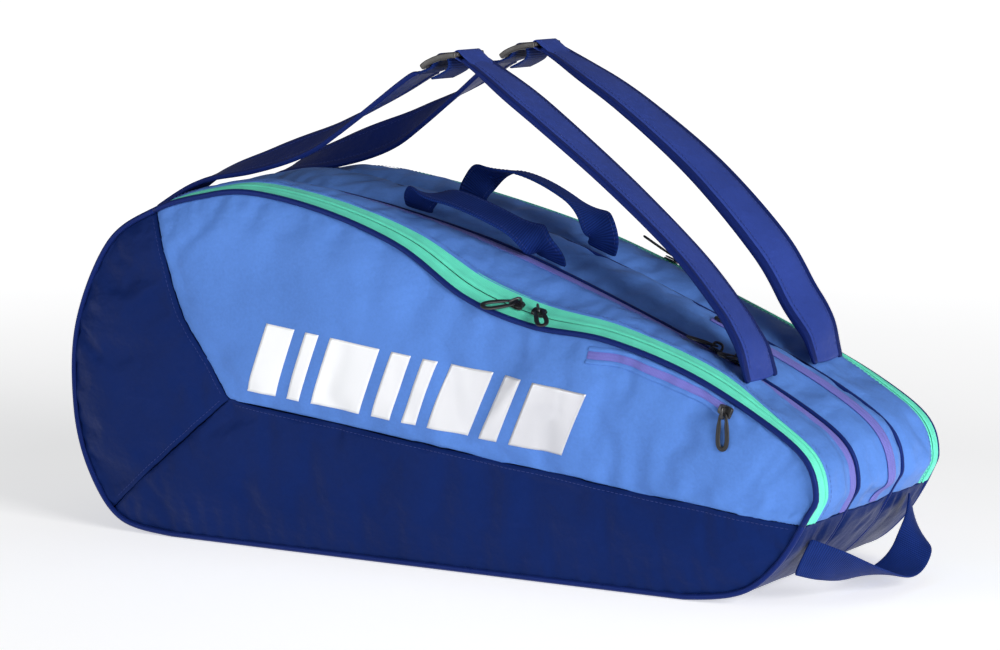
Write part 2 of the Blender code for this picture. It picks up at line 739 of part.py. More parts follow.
def build_slider(name, frame, yaw, droop, travel_pivot):
    """A slider, and a looped puller through its crown. Yaw turns the crown about the normal."""
    black = material("black_metal", BLACK, 0.4)
    half = [size / 2 for size in SLIDER]
    base = box((-half[0], -half[1], 0.0), (half[0], half[1], SLIDER[2]), frame)
    slider = add_part(f"{name}_slider", base, black, travel_pivot)
    turned = frame @ Matrix.Rotation(yaw, 4, "Z")
    crown = [(-0.0045, 0.0020), (-0.0027, 0.0020), (-0.0027, 0.0072), (0.0050, 0.0072)]
    crown += [(0.0050, 0.0064), (0.0061, 0.0064), (0.0061, 0.0087), (-0.0045, 0.0087)]
    arch = prism(crown, -CROWN_WIDTH / 2, CROWN_WIDTH / 2, turned)
    boolean(slider, add_part(f"{name}_crown", arch, black), "UNION")
    pivot = turned @ Vector((PULL_PIVOT[0], 0.0, PULL_PIVOT[1]))
    hang = Matrix.Translation(pivot) @ turned.to_quaternion().to_matrix().to_4x4()
    hang = hang @ Matrix.Rotation(droop, 4, "Y")
    add_part(f"{name}_puller", puller_ring(hang), material("black_rubber", BLACK, 0.6), hang)


def puller_ring(hang):
    """A flat loop with round ends: its first end is the bar in the crown."""
    length, width, thick = PULLER
    rail = 0.0020
    outer, inner = stadium(length, width), stadium(length - 2 * rail, width - 2 * rail, rail)
    rings = []
    for (ox, oy), (ix, iy) in zip(outer, inner):
        corners = ((ox, oy, -thick), (ox, oy, thick), (ix, iy, thick), (ix, iy, -thick))
        rings.append([hang @ Vector((x, y, z / 2)) for x, y, z in corners])
    return grid_solid(rings, closed=True)


def stadium(length, width, start=0.0):
    """Outline of a loop: square at its pivot end, round at the far end."""
    radius = width / 2
    tip = start - 0.001 + length - radius
    points = [(start - 0.001, -radius)]
    for degrees in range(-90, 91, 45):
        angle = math.radians(degrees)
        points.append((tip + radius * math.cos(angle), radius * math.sin(angle)))
    return points + [(start - 0.001, radius)]


def travel_centre(start, end, y, lift):
    """Centre of the arc that a slider follows between two ring places."""
    a, b, c = (skin(t, y, lift) for t in (start, (start + end) / 2, end))
    (ax, az), (bx, bz), (cx, cz) = ((p.x, p.z) for p in (a, b, c))
    d = 2 * (ax * (bz - cz) + bx * (cz - az) + cx * (az - bz))
    a2, b2, c2 = ax * ax + az * az, bx * bx + bz * bz, cx * cx + cz * cz
    centre_x = (a2 * (bz - cz) + b2 * (cz - az) + c2 * (az - bz)) / d
    centre_z = (a2 * (cx - bx) + b2 * (ax - cx) + c2 * (bx - ax)) / d
    return (centre_x, y, centre_z)


SLIDER_LIFT = 0.0012


def build_edge_slider(name, x, travel_x, y, yaw, droop, on_arc=False):
    """A slider on a zip that follows the gusset, and that runs along it as far as travel_x.

    On an arc it turns about the arc's centre. Elsewhere it slides in a straight line.
    """
    place = place_at_x(x, y)
    point = skin(place, y, SLIDER_LIFT)
    along = skin(place + 0.3, y) - skin(place - 0.3, y)
    across = skin(place, y + 0.003) - skin(place, y - 0.003)
    frame = local_frame(point, along, along.cross(across))
    pivot = tuple(point)
    if on_arc:
        pivot = travel_centre(place, place_at_x(travel_x, y), y, SLIDER_LIFT)
    build_slider(name, frame, math.radians(yaw), math.radians(droop), pivot)


def build_pocket_slider():
    ring = inset_ring(-DEPTH / 2, WALL + 0.0009)
    x, z = 0.298, 0.1628
    point = Vector((x, panel_face(-1, (x, z), ring) - 0.0036, z))
    frame = local_frame(point, Vector((0.93, 0.0, -0.36)), Vector((0.0, -1.0, 0.12)))
    build_slider("pocket_zip", frame, math.radians(-69.0), math.radians(4.0), tuple(point))


def build_sliders():
    build_edge_slider("front_zip_1", 0.086, 0.030, -MAIN_ZIP_Y, 235.0, -14.0, on_arc=True)
    build_edge_slider("front_zip_2", 0.108, 0.155, -MAIN_ZIP_Y, -50.0, -14.0)
    build_edge_slider("rear_zip_1", 0.118, 0.050, MAIN_ZIP_Y, 215.0, -10.0)
    build_edge_slider("rear_zip_2", 0.142, 0.215, MAIN_ZIP_Y, -35.0, -10.0)
    centre_y = sum(CENTRE_ZIP) / 2
    build_edge_slider("centre_zip_1", 0.248, 0.180, centre_y, 235.0, 8.0)
    build_edge_slider("centre_zip_2", 0.266, 0.269, centre_y, -95.0, 8.0)
    build_edge_slider("end_zip", 0.246, 0.300, 0.0, 180.0, 8.0)
    build_pocket_slider()


# ---------------------------------------------------------------- the whole bag
def build_bag():
    for name, side in (("front", -1), ("rear", 1)):
        build_outer_panels(name, side)
        gusset = build_side_gusset(name, side)
        if side < 0:
            build_centre_zip(gusset)
        build_main_zip(name, side)
        build_divider(name, side)
        build_strap_feet(name, side)
        build_strap(name, side)
        build_ladder_lock(name, side)
    build_centre_gusset()
    build_pocket_zip()
    build_handle("front", -1, 0.034, math.radians(-38.0), math.radians(22.0))
    build_handle("rear", 1, 0.042, math.radians(-4.0), math.radians(10.0))
    build_end_loop()
    build_sliders()


clear_scene()
build_bag()
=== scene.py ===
"""Looks of the racket tournament bag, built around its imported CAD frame."""

import math

import bmesh
import bpy
import numpy as np
from mathutils import Matrix, Vector, noise
from mathutils.bvhtree import BVHTree


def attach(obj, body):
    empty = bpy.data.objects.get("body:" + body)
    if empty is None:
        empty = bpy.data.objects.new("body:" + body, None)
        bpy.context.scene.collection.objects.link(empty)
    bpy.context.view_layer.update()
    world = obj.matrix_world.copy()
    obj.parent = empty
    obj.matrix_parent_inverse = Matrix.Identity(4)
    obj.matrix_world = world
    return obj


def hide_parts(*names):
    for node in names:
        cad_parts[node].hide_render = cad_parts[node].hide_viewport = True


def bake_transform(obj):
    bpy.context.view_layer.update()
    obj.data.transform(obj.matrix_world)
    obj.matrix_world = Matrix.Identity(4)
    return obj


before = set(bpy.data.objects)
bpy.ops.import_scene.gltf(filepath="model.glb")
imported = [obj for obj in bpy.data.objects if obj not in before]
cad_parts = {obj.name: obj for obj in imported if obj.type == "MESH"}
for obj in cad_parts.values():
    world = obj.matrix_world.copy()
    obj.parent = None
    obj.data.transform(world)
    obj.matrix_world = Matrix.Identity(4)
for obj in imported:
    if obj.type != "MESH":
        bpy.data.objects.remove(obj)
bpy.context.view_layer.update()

# ---------------------------------------------------------------- dimensions, as in the CAD part
DEPTH = 0.250
DIVIDER_Y = 0.045
PANEL_BULGE = 0.008
BULGE_RUN = 0.050
SIDE_LOBE = 0.008
CENTRE_LOBE = 0.011
END_FLATTENING = 0.7
SEAM_CORD = 0.0026
DIVIDER_CORD = 0.0024
STRAP_Y = 0.065
MAIN_ZIP_Y = 0.110
ZIP_HALF = 0.0135
FOLD_Y = DEPTH / 2 + PANEL_BULGE + 0.0005
CENTRE_ZIP = (-0.0605, -0.0485)
CENTRE_ZIP_X = (-0.200, 0.284)
END_ZIP_HALF = 0.0075
END_ZIP_X = 0.215
SEAM_MEET = (-0.201, 0.133)
END_SEAM = [(-0.2245, 0.1695), (-0.2485, 0.2030), (-0.2600, 0.2320), (-0.2705, 0.2650)]
CORNER_SEAM_FAR = (-0.419, -0.048)
OUTLINE = np.array([
    (-0.270, 0.000, 0.000), (-0.328, 0.010, 0.010), (-0.361, 0.050, 0.050),
    (-0.377, 0.112, 0.112), (-0.373, 0.190, 0.190), (-0.336, 0.266, 0.266),
    (-0.284, 0.299, 0.299), (-0.232, 0.314, 0.314), (-0.179, 0.320, 0.320),
    (-0.100, 0.307, 0.309), (-0.021, 0.280, 0.292), (0.045, 0.240, 0.274),
    (0.110, 0.220, 0.251), (0.181, 0.213, 0.223), (0.255, 0.192, 0.192),
    (0.320, 0.161, 0.161), (0.366, 0.130, 0.130), (0.378, 0.098, 0.098),
    (0.368, 0.072, 0.072), (0.345, 0.036, 0.036), (0.312, 0.010, 0.010),
    (0.258, 0.000, 0.000),
])  # x, height at the front panel, height of the rest
LAST = len(OUTLINE) - 1  # the base runs from here to LAST + 1, which is point 0 again
ZIP_START, ZIP_END = 6, 18  # outline points that the main zips run between
RUN_IN = 0.060
ACROSS = (0, 1, 0)  # along the bag's depth
CLOTH, TAPE, POCKET_TAPE, FILM_THICK = 0.0022, 0.0011, 0.0006, 0.0002  # thicknesses of sheets


# ---------------------------------------------------------------- numbers and curves
def smoothstep(value):
    value = np.clip(value, 0.0, 1.0)
    return value * value * (3.0 - 2.0 * value)


def unit(rows):
    """Each row scaled to length 1."""
    return rows / np.linalg.norm(rows, axis=1)[:, None]


def upright(along):
    """Each row of (x, z) turned a quarter round, anticlockwise."""
    return np.stack([-along[:, 1], along[:, 0]], axis=1)


def run_along(path):
    """Distance from the start of a path to each of its points."""
    return np.concatenate([[0], np.cumsum(np.linalg.norm(np.diff(path, axis=0), axis=1))])


def resample(path, run, wanted):
    """Points of a path at the wanted distances."""
    return np.stack([np.interp(wanted, run, path[:, k]) for k in range(3)], axis=1)


def points_from(*values):
    """Points made of columns of numbers; a single number fills its column."""
    return np.stack(np.broadcast_arrays(*values), axis=-1).astype(float)


def spline(a, b, c, d, s):
    """Catmull-Rom curve from b to c, at share s of the way."""
    curve = 0.5 * (2 * b + (c - a) * s + (2 * a - 5 * b + 4 * c - d) * s**2)
    return curve + 0.5 * (3 * b - a - 3 * c + d) * s**3


# ---------------------------------------------------------------- the bag's skin
def outline(u, column):
    """Points (x, z) of the side outline at places u, counted in outline points."""
    knots = OUTLINE[:, [0, column]]
    knots = np.vstack([knots[0] + (RUN_IN, 0), knots, knots[-1] - (RUN_IN, 0)])
    u = np.mod(np.atleast_1d(np.asarray(u, float)), LAST + 1)
    k = np.minimum(u.astype(int), LAST - 1)
    curve = spline(*(knots[k + n] for n in range(4)), (u - k)[:, None])
    base = knots[-2] + (knots[1] - knots[-2]) * (u - LAST)[:, None]
    return np.where((u > LAST)[:, None], base, curve)


def outline_normal(u, column):
    return unit(upright(outline(np.asarray(u) + 0.02, column) - outline(np.asarray(u) - 0.02, column)))


def lobe(y):
    across = (np.abs(y) - DIVIDER_Y) / (DEPTH / 2 - DIVIDER_Y)
    centre = CENTRE_LOBE * np.cos(np.pi * y / (2 * DIVIDER_Y))
    return np.where(np.abs(y) < DIVIDER_Y, centre, SIDE_LOBE * np.sin(np.pi * np.minimum(across, 1)))


def station(u, y):
    """Outline point, outward normal and share of base at places u and depths y."""
    front = smoothstep((-DIVIDER_Y - np.asarray(y, float)) / (DEPTH / 2 - DIVIDER_Y))
    front = np.broadcast_to(front, np.shape(u))[:, None]
    point = outline(u, 2) * (1 - front) + outline(u, 1) * front
    normal = unit(outline_normal(u, 2) * (1 - front) + outline_normal(u, 1) * front)
    return point, normal, smoothstep((-normal[:, 1] - 0.1) / 0.5)


def outline_point(u, y):
    """One outline point (x, z)."""
    return station(np.array([u]), y)[0][0]


def skin(u, y, lift=0.0):
    """Points on the gusset's outer face, lifted off it. u, y and lift may be arrays."""
    u = np.atleast_1d(np.asarray(u, float))
    y = np.broadcast_to(np.asarray(y, float), u.shape)
    point, normal, base = station(u, y)
    flat = np.where(np.abs(y) > DIVIDER_Y, END_FLATTENING * smoothstep((point[:, 0] - 0.27) / 0.08), 0)
    out = lobe(y) * (1 - base) * (1 - flat) + lift
    return np.stack([point[:, 0] + normal[:, 0] * out, y, point[:, 1] + normal[:, 1] * out], axis=1)


def skin_at(u, y, lift=0.0):
    return Vector(skin(u, y, lift)[0])


def place_at_x(x, y):
    """Place on the top line whose outline point has this x."""
    low, high = float(ZIP_START), float(ZIP_END) - 2
    for _ in range(40):
        middle = (low + high) / 2
        if outline_point(middle, y)[0] < x:
            low = middle
        else:
            high = middle
    return low


def spaced(start, end, y, pitch):
    """Places from start to end, an even distance apart along the skin, and that distance run."""
    fine = np.linspace(start, end, 800)
    run = run_along(skin(fine, y))
    wanted = np.linspace(0, run[-1], max(int(run[-1] / pitch), 4) + 1)
    return np.interp(wanted, run, fine), wanted


def value_noise(points, scale, seed):
    """Smooth noise from -1 to 1 at points, with features about scale metres wide."""
    shift = Vector((seed * 3.17, seed * 1.31, seed * 7.7))
    return np.array([noise.noise(Vector(p) / scale + shift) for p in points])


# ---------------------------------------------------------------- meshes
def add_object(name, data):
    obj = bpy.data.objects.new(name, data)
    bpy.context.scene.collection.objects.link(obj)
    return obj


def mesh_object(name, points, faces, uvs, finish):
    """uvs holds one (u, v) in metres for each corner of each face."""
    mesh = bpy.data.meshes.new(name)
    mesh.from_pydata([tuple(p) for p in points], [], [tuple(f) for f in faces])
    layer = mesh.uv_layers.new(name="UVMap")
    layer.data.foreach_set("uv", np.asarray(uvs, np.float32).ravel())
    mesh.materials.append(finish)
    mesh.polygons.foreach_set("use_smooth", [True] * len(mesh.polygons))
    return add_object(name, mesh)


def grid(name, points, us, vs, finish, closed=(False, False), caps=False):
    """A mesh over points[n, m]. us and vs are metres along and across, for the weave."""
    rows, columns = points.shape[:2]
    i = np.arange(rows if closed[0] else rows - 1)
    j = np.arange(columns if closed[1] else columns - 1)
    i, j = (a.ravel() for a in np.meshgrid(i, j, indexing="ij"))
    corners = [(i, j), (i, j + 1), (i + 1, j + 1), (i + 1, j)]
    faces = np.stack([(a % rows) * columns + b % columns for a, b in corners], axis=1)
    uvs = np.stack([np.stack([us[a], vs[b]], axis=1) for a, b in corners], axis=1).reshape(-1, 2)
    faces, uvs = faces.tolist(), uvs.tolist()
    if caps:
        ends = [list(range(columns)), list(range((rows - 1) * columns, rows * columns))[::-1]]
        faces += ends
        uvs += [(0.0, 0.0)] * (2 * columns)
    return mesh_object(name, points.reshape(-1, 3), faces, uvs, finish)


def solid_grid(name, points, us, vs, finish, ring=False):
    """A closed mesh over points[n, m], whose columns close on themselves; in a ring, rows do too."""
    obj = grid(name, points, us, vs, finish, closed=(ring, True), caps=not ring)
    bm = bmesh.new()
    bm.from_mesh(obj.data)
    bmesh.ops.recalc_face_normals(bm, faces=bm.faces)
    bm.to_mesh(obj.data)
    bm.free()
    return obj


def turn_outwards(obj, outward):
    """Flips the faces if the first face looks away from the outward vector."""
    if obj.data.polygons[0].normal.dot(Vector(outward)) < 0:
        obj.data.flip_normals()


def shell(obj, thickness, rounded=True):
    """Gives a sheet its thickness on the inside, and rounds its edges."""
    solid = obj.modifiers.new("Thickness", "SOLIDIFY")
    solid.thickness = thickness
    solid.offset = -1.0
    if rounded:
        soften(obj)


def soften(obj):
    step = obj.modifiers.new("Soften", "SUBSURF")
    step.levels = step.render_levels = 1


SETTLING = 20  # frames that a cloth simulation runs
CLOTH_MASS, CLOTH_STRETCH, CLOTH_BEND = 0.2, 12.0, 0.6


def vertex_places(mesh):
    places = np.empty(3 * len(mesh.vertices))
    mesh.vertices.foreach_get("co", places)
    return places.reshape(-1, 3)


def settle(obj, pressure, growth, limit, calm=None):
    """Cloth simulation: a sheet sewn along its border fills out, and its spare cloth wrinkles.

    growth is the share of spare cloth and limit the furthest a point may move. Points where
    calm is 0 stay where they are.
    """
    mesh = obj.data
    before = vertex_places(mesh)
    bm = bmesh.new()
    bm.from_mesh(mesh)
    sewn = {v.index for edge in bm.edges if edge.is_boundary for v in edge.verts}
    bm.free()
    if calm is not None:
        sewn |= set(np.nonzero(calm <= 0.0)[0].tolist())
    group = obj.vertex_groups.new(name="sewn")
    group.add(sorted(sewn), 1.0, "REPLACE")
    cloth = obj.modifiers.new("Cloth", "CLOTH")
    settings = cloth.settings
    settings.vertex_group_mass = "sewn"
    settings.quality = 4
    settings.mass = CLOTH_MASS
    settings.tension_stiffness = settings.compression_stiffness = CLOTH_STRETCH
    settings.bending_stiffness = CLOTH_BEND
    settings.use_pressure = True
    settings.uniform_pressure_force = pressure
    settings.shrink_min = settings.shrink_max = -growth
    settings.effector_weights.gravity = 0.0
    cloth.point_cache.frame_start, cloth.point_cache.frame_end = 1, SETTLING
    for step in range(1, SETTLING + 1):
        bpy.context.scene.frame_set(step)
    settled = obj.evaluated_get(bpy.context.evaluated_depsgraph_get()).to_mesh()
    moved = vertex_places(settled) - before
    obj.modifiers.remove(cloth)
    obj.vertex_groups.clear()
    bpy.context.scene.frame_set(1)
    far = np.maximum(np.linalg.norm(moved, axis=1), 1e-9)
    moved *= (limit * np.tanh(far / limit) / far)[:, None]
    mesh.vertices.foreach_set("co", (before + moved).ravel())
    mesh.update()


def finish_piece(obj, nodes=(), body="root", bend=None):
    """Hides the CAD parts obj stands for; rides obj on a body, or, given a bend, bakes its place in."""
    if nodes:
        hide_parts(*nodes)
    if bend:
        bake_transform(obj)
    else:
        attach(obj, body)


def smooth_path(points, steps):
    """A finely sampled smooth curve through points, with straight run-outs."""
    points = np.array([tuple(p) for p in points], float)
    points = np.vstack([2 * points[0] - points[1], points, 2 * points[-1] - points[-2]])
    curve = [spline(*knots, k / steps) for knots in zip(points, points[1:], points[2:], points[3:])
             for k in range(steps)]
    return np.array(curve + [points[-2]])


def even_path(points, pitch):
    """The same curve with its samples an even distance apart."""
    fine = smooth_path(points, 24)
    run = run_along(fine)
    return resample(fine, run, np.linspace(0, run[-1], max(int(run[-1] / pitch), 3) + 1))


def flat_section(count=5, edge=0.5):
    """Cross-section of a strip in units of half its width and half its thickness."""
    top = [(a, 1.0) for a in np.linspace(-0.94, 0.94, count)]
    bottom = [(a, -1.0) for a in np.linspace(0.94, -0.94, count)]
    return [*top, (1.0, edge), (1.0, -edge), *bottom, (-1.0, -edge), (-1.0, edge)]


def crowned_section(count):
    """Cross-section of a padded strip: full in the middle and pinched at its edges."""
    across = np.linspace(-0.97, 0.97, count)
    top = [(a, 0.36 + 0.64 * (1 - abs(a) ** 3)) for a in across]
    return top + [(a, -b) for a, b in reversed(top)]


def frame_path(path, sides, closed=False):
    """Unit vectors across a path, near sides, and out of its face."""
    ahead = np.roll(path, -1, axis=0) - np.roll(path, 1, axis=0) if closed else np.gradient(path, axis=0)
    along = unit(ahead)
    sides = unit(sides - along * (sides * along).sum(axis=1)[:, None])
    return sides, np.cross(along, sides)


def strip(name, path, sides, width, thickness, section, finish):
    """A strip along path. sides is the direction of its width: one for all, or one per point.

    Width and thickness may also vary along it.
    """
    path = np.asarray(path, float)
    sides, face = frame_path(path, np.broadcast_to(np.asarray(sides, float), path.shape))
    half_w, half_t = (np.broadcast_to(np.asarray(size, float) / 2, len(path))[:, None, None]
                      for size in (width, thickness))
    section = np.array(section)
    points = path[:, None] + sides[:, None] * half_w * section[None, :, :1]
    points = points + face[:, None] * half_t * section[None, :, 1:]
    around = np.concatenate([section[:, 0], section[:1, 0]]) * float(np.max(width)) / 2
    return solid_grid(name, points, run_along(path), around, finish)


def tube(name, path, radius, finish, sides=8, closed=False, squash=1.0, up=ACROSS):
    """A round cord along path."""
    path = np.asarray(path, float)
    across, other = frame_path(path, np.broadcast_to(np.asarray(up, float), path.shape), closed)
    angles = np.linspace(0, 2 * np.pi, sides, endpoint=False)
    radius = np.broadcast_to(radius, len(path))[:, None, None]
    turn, rise = np.cos(angles)[None, :, None], np.sin(angles)[None, :, None] * squash
    points = path[:, None] + radius * (across[:, None] * turn + other[:, None] * rise)
    around = np.linspace(0, 2 * np.pi * float(np.max(radius)), sides + 1)
    return solid_grid(name, points, run_along(np.vstack([path, path[:1]])), around, finish, ring=closed)


def join(name, pieces):
    """One object from several; each keeps its own modifiers applied first."""
    bm = bmesh.new()
    materials = []
    dg = bpy.context.evaluated_depsgraph_get()
    for piece in pieces:
        mesh = bpy.data.meshes.new_from_object(piece.evaluated_get(dg))
        mesh.transform(piece.matrix_world)
        if mesh.materials[0] not in materials:
            materials.append(mesh.materials[0])
        mesh.polygons.foreach_set("material_index",
                                  [materials.index(mesh.materials[0])] * len(mesh.polygons))
        bm.from_mesh(mesh)
        bpy.data.objects.remove(piece)
        bpy.data.meshes.remove(mesh)
    mesh = bpy.data.meshes.new(name)
    bm.to_mesh(mesh)
    bm.free()
    for finish in materials:
        mesh.materials.append(finish)
    return add_object(name, mesh)


STITCH, STITCH_GAP, THREAD = 0.0030, 0.0012, 0.00024


def stitches(name, path, outward, finish):
    """A row of short threads along path, each a little crowned. outward is the face they sit on."""
    path = np.asarray(path, float)
    outward = np.broadcast_to(np.asarray(outward, float), path.shape)
    run = run_along(path)
    pitch = STITCH + STITCH_GAP
    rise = np.array([-0.7, 0.4, 0.4, -0.7]) * THREAD
    thick = np.array([0.55, 1.0, 1.0, 0.55]) * THREAD
    points, faces = [], []
    for n in range(int(run[-1] / pitch)):
        marks = n * pitch + np.array([0.0, 0.25, 0.75, 1.0]) * STITCH
        spots, out = resample(path, run, marks), unit(resample(outward, run, marks))
        along = spots[-1] - spots[0]
        across = np.cross(out, along / max(np.linalg.norm(along), 1e-9))
        first = len(points)
        for k in range(4):
            for a, b in ((-1, 0), (0, 1), (1, 0), (0, -1)):
                points.append(spots[k] + out[k] * (rise[k] + b * thick[k]) + across[k] * a * thick[k])
        for low in (first, first + 4, first + 8):
            faces += [(low + c, low + (c + 1) % 4, low + 4 + (c + 1) % 4, low + 4 + c) for c in range(4)]
        faces.append((first, first + 3, first + 2, first + 1))
        faces.append((first + 12, first + 13, first + 14, first + 15))
    return mesh_object(name, points, faces, [(0.0, 0.0)] * sum(len(f) for f in faces), finish)


def edge_rows(path, sides, face, inset, rise):
    """Four rows of stitches, one along each edge of each face of a strap."""
    return [stitches("row", path + sides * edge * inset + face * up * rise, face * up, NAVY_THREAD)
            for edge in (-1, 1) for up in (-1, 1)]


# ---------------------------------------------------------------- materials
class Finish:
    """Builds one procedural material, or the sky, node by node."""

    def __init__(self, name, kind="materials", shader="Principled BSDF"):
        self.material = getattr(bpy.data, kind).new(name)
        self.material.use_nodes = True
        self.tree = self.material.node_tree
        self.shader = self.tree.nodes[shader]

    def node(self, kind, inputs=(), **settings):
        made = self.tree.nodes.new("ShaderNode" + kind)
        for key, value in settings.items():
            setattr(made, key, value)
        for key, value in dict(inputs).items():
            self.put(made.inputs[key], value)
        return made

    def put(self, socket, value):
        if isinstance(value, bpy.types.NodeSocket):
            self.tree.links.new(value, socket)
        else:
            socket.default_value = value

    def math(self, operation, a, b=0.0, c=0.0):
        return self.node("Math", {0: a, 1: b, 2: c}, operation=operation).outputs[0]

    def total(self, *parts):
        """The sum of (value, weight) pairs."""
        total, *terms = [self.math("MULTIPLY", value, weight) for value, weight in parts]
        for term in terms:
            total = self.math("ADD", total, term)
        return total

    def coordinates(self, kind, scale):
        source = self.node("TexCoord").outputs[kind]
        scale = (scale, scale, scale) if isinstance(scale, (int, float)) else scale
        return self.node("Mapping", {"Vector": source, "Scale": scale}).outputs[0]

    def noise(self, scale, detail=2.0, kind="Object", stretch=(1, 1, 1)):
        place = self.coordinates(kind, stretch)
        found = self.node("TexNoise", {"Vector": place, "Scale": scale, "Detail": detail})
        return found.outputs["Fac"]

    def wave(self, pitch, direction, kind="UV"):
        """Sine bands with the given pitch in metres."""
        place = self.coordinates(kind, 1.0)
        axis = self.node("SeparateXYZ", {0: place}).outputs[direction]
        turned = self.math("MULTIPLY", axis, 2 * math.pi / pitch)
        return self.math("MULTIPLY_ADD", self.math("SINE", turned), 0.5, 0.5)

    def spread(self, value, low, high, a=0.3, b=0.7):
        """Value from a to b becomes low to high."""
        return self.node("MapRange", {0: value, 1: a, 2: b, 3: low, 4: high}).outputs[0]

    def colour(self, dark, light, share):
        mixed = self.node("Mix", {0: share, 6: (*dark, 1), 7: (*light, 1)}, data_type="RGBA")
        return mixed.outputs[2]

    def dye(self, colour, dark, light, share):
        """The colour, from dark times to light times as bright."""
        dark, light = (tuple(min(c * factor, 1.0) for c in colour) for factor in (dark, light))
        return self.colour(dark, light, share)

    def weave(self, pitch):
        return self.math("MULTIPLY", self.wave(pitch, 0), self.wave(pitch, 1))

    def bump(self, height, distance, strength=1.0, under=None):
        inputs = {"Height": height, "Distance": distance, "Strength": strength}
        if under is not None:
            inputs["Normal"] = under
        return self.node("Bump", inputs).outputs[0]

    def set(self, **values):
        """Sets the shader's inputs and hands back the material."""
        for key, value in values.items():
            self.put(self.shader.inputs[key.replace("_", " ")], value)
        return self.material


def gleam(colour):
    """Colour of the light that dyed cloth throws back: its own hue, but paler."""
    brightest = max(colour)
    return (*(0.12 + 0.88 * c / brightest for c in colour), 1.0)


def coated_cloth(name, colour, roughness=0.45, sheen=0.02, crease=0.0012, gloss=0.22):
    """Smooth coated polyester: a fine plain weave under a satin face, with soft handling marks."""
    made = Finish(name)
    weave = made.weave(0.0007)
    tone = made.total((made.noise(9.0, 4.0), 0.62), (made.noise(420.0), 0.24), (weave, 0.14))
    rub = made.noise(38.0, 5.0, stretch=(1.0, 1.0, 0.35))
    normal = made.bump(made.noise(26.0, 3.0, stretch=(1.0, 1.0, 1.6)), crease * 4, 0.55)
    normal = made.bump(made.noise(130.0), crease * 0.4, 0.5, normal)
    return made.set(Base_Color=made.dye(colour, 0.86, 1.13, made.spread(tone, 0, 1, 0.30, 0.66)),
                    Roughness=made.spread(rub, roughness - 0.07, roughness + 0.09),
                    Normal=made.bump(weave, 0.00012, 0.35, normal), Sheen_Weight=sheen,
                    Sheen_Roughness=0.4, Specular_IOR_Level=gloss,
                    Specular_Tint=gleam(colour), Sheen_Tint=gleam(colour))


def ribbed_webbing(name, colour):
    """Woven webbing: ribs across its length and finer threads along it."""
    made = Finish(name)
    weave = made.total((made.wave(0.0021, 0), 0.7), (made.wave(0.0011, 1), 0.3))
    cloud = made.noise(60.0, 3.0)
    tone = made.spread(made.total((weave, 0.6), (cloud, 0.4)), 0, 1, 0.2, 0.8)
    normal = made.bump(weave, 0.0005, 0.9, made.bump(cloud, 0.0006, 0.4))
    return made.set(Base_Color=made.dye(colour, 0.55, 1.5, tone), Roughness=0.6, Normal=normal,
                    Sheen_Weight=0.03, Sheen_Roughness=0.5, Specular_IOR_Level=0.2,
                    Specular_Tint=gleam(colour), Sheen_Tint=gleam(colour))


def zip_cloth(name, colour):
    """Zip tape: a tight herringbone."""
    made = Finish(name)
    weave = made.math("MAXIMUM", made.wave(0.0013, 0), made.wave(0.0008, 1))
    tone = made.spread(made.total((weave, 0.35), (made.noise(45.0, 3.0), 0.65)), 0, 1, 0.3, 0.8)
    return made.set(Base_Color=made.dye(colour, 0.82, 1.12, tone), Roughness=0.55,
                    Normal=made.bump(weave, 0.0003, 0.6), Sheen_Weight=0.05, Specular_IOR_Level=0.3)


def moulded(name, colour, roughness):
    """Moulded plastic or rubber: fine grain, dull scuffs and paler worn edges."""
    made = Finish(name)
    scuff = made.noise(90.0, 6.0)
    worn = made.spread(made.node("NewGeometry").outputs["Pointiness"], 0, 1, 0.51, 0.60)
    share = made.spread(made.total((scuff, 0.5), (worn, 0.5)), 0, 1, 0.2, 0.8)
    return made.set(Base_Color=made.dye(colour, 0.75, 1.9, share), Specular_IOR_Level=0.5,
                    Roughness=made.spread(scuff, roughness - 0.1, roughness + 0.14),
                    Normal=made.bump(made.noise(900.0), 0.0001, 0.45))


def lacquered(name, colour):
    """Lacquered zinc: a thin glossy coat, rubbed through to metal at its edges."""
    made = Finish(name)
    edge = made.spread(made.node("NewGeometry").outputs["Pointiness"], 0, 1, 0.52, 0.62)
    scuff = made.noise(240.0, 5.0)
    worn = made.math("MULTIPLY", edge, made.spread(scuff, 0, 1, 0.4, 0.7))
    return made.set(Base_Color=made.colour(colour, (0.20, 0.20, 0.21), worn),
                    Roughness=made.spread(scuff, 0.22, 0.42), Normal=made.bump(scuff, 0.00008, 0.4),
                    Metallic=made.spread(worn, 0.25, 0.9, 0, 1), Coat_Weight=0.3)


def printed_film(name):
    """Silvery heat-pressed film: it takes the cloth's weave and shades off to one side."""
    made = Finish(name)
    place = made.node("SeparateXYZ", {0: made.coordinates("Object", 1.0)}).outputs[0]
    place = made.math("ADD", place, made.math("MULTIPLY", made.noise(7.0, 3.0), 0.10))
    fade = made.spread(place, 0, 1, -0.05, 0.24)
    normal = made.bump(made.noise(120.0, 3.0), 0.0002, 0.4)
    return made.set(Base_Color=made.colour((0.93, 0.94, 0.96), (0.62, 0.62, 0.66), fade),
                    Roughness=made.spread(made.noise(60.0, 4.0), 0.3, 0.45),
                    Metallic=made.spread(fade, 0.05, 0.45, 0, 1),
                    Normal=made.bump(made.weave(0.0007), 0.0001, 0.3, normal))


def spun_thread(name, colour):
    made = Finish(name)
    twist = made.noise(1500.0)
    return made.set(Base_Color=made.dye(colour, 0.7, 1.3, twist), Roughness=0.6, Sheen_Weight=0.05,
                    Normal=made.bump(twist, 0.0001, 0.5))


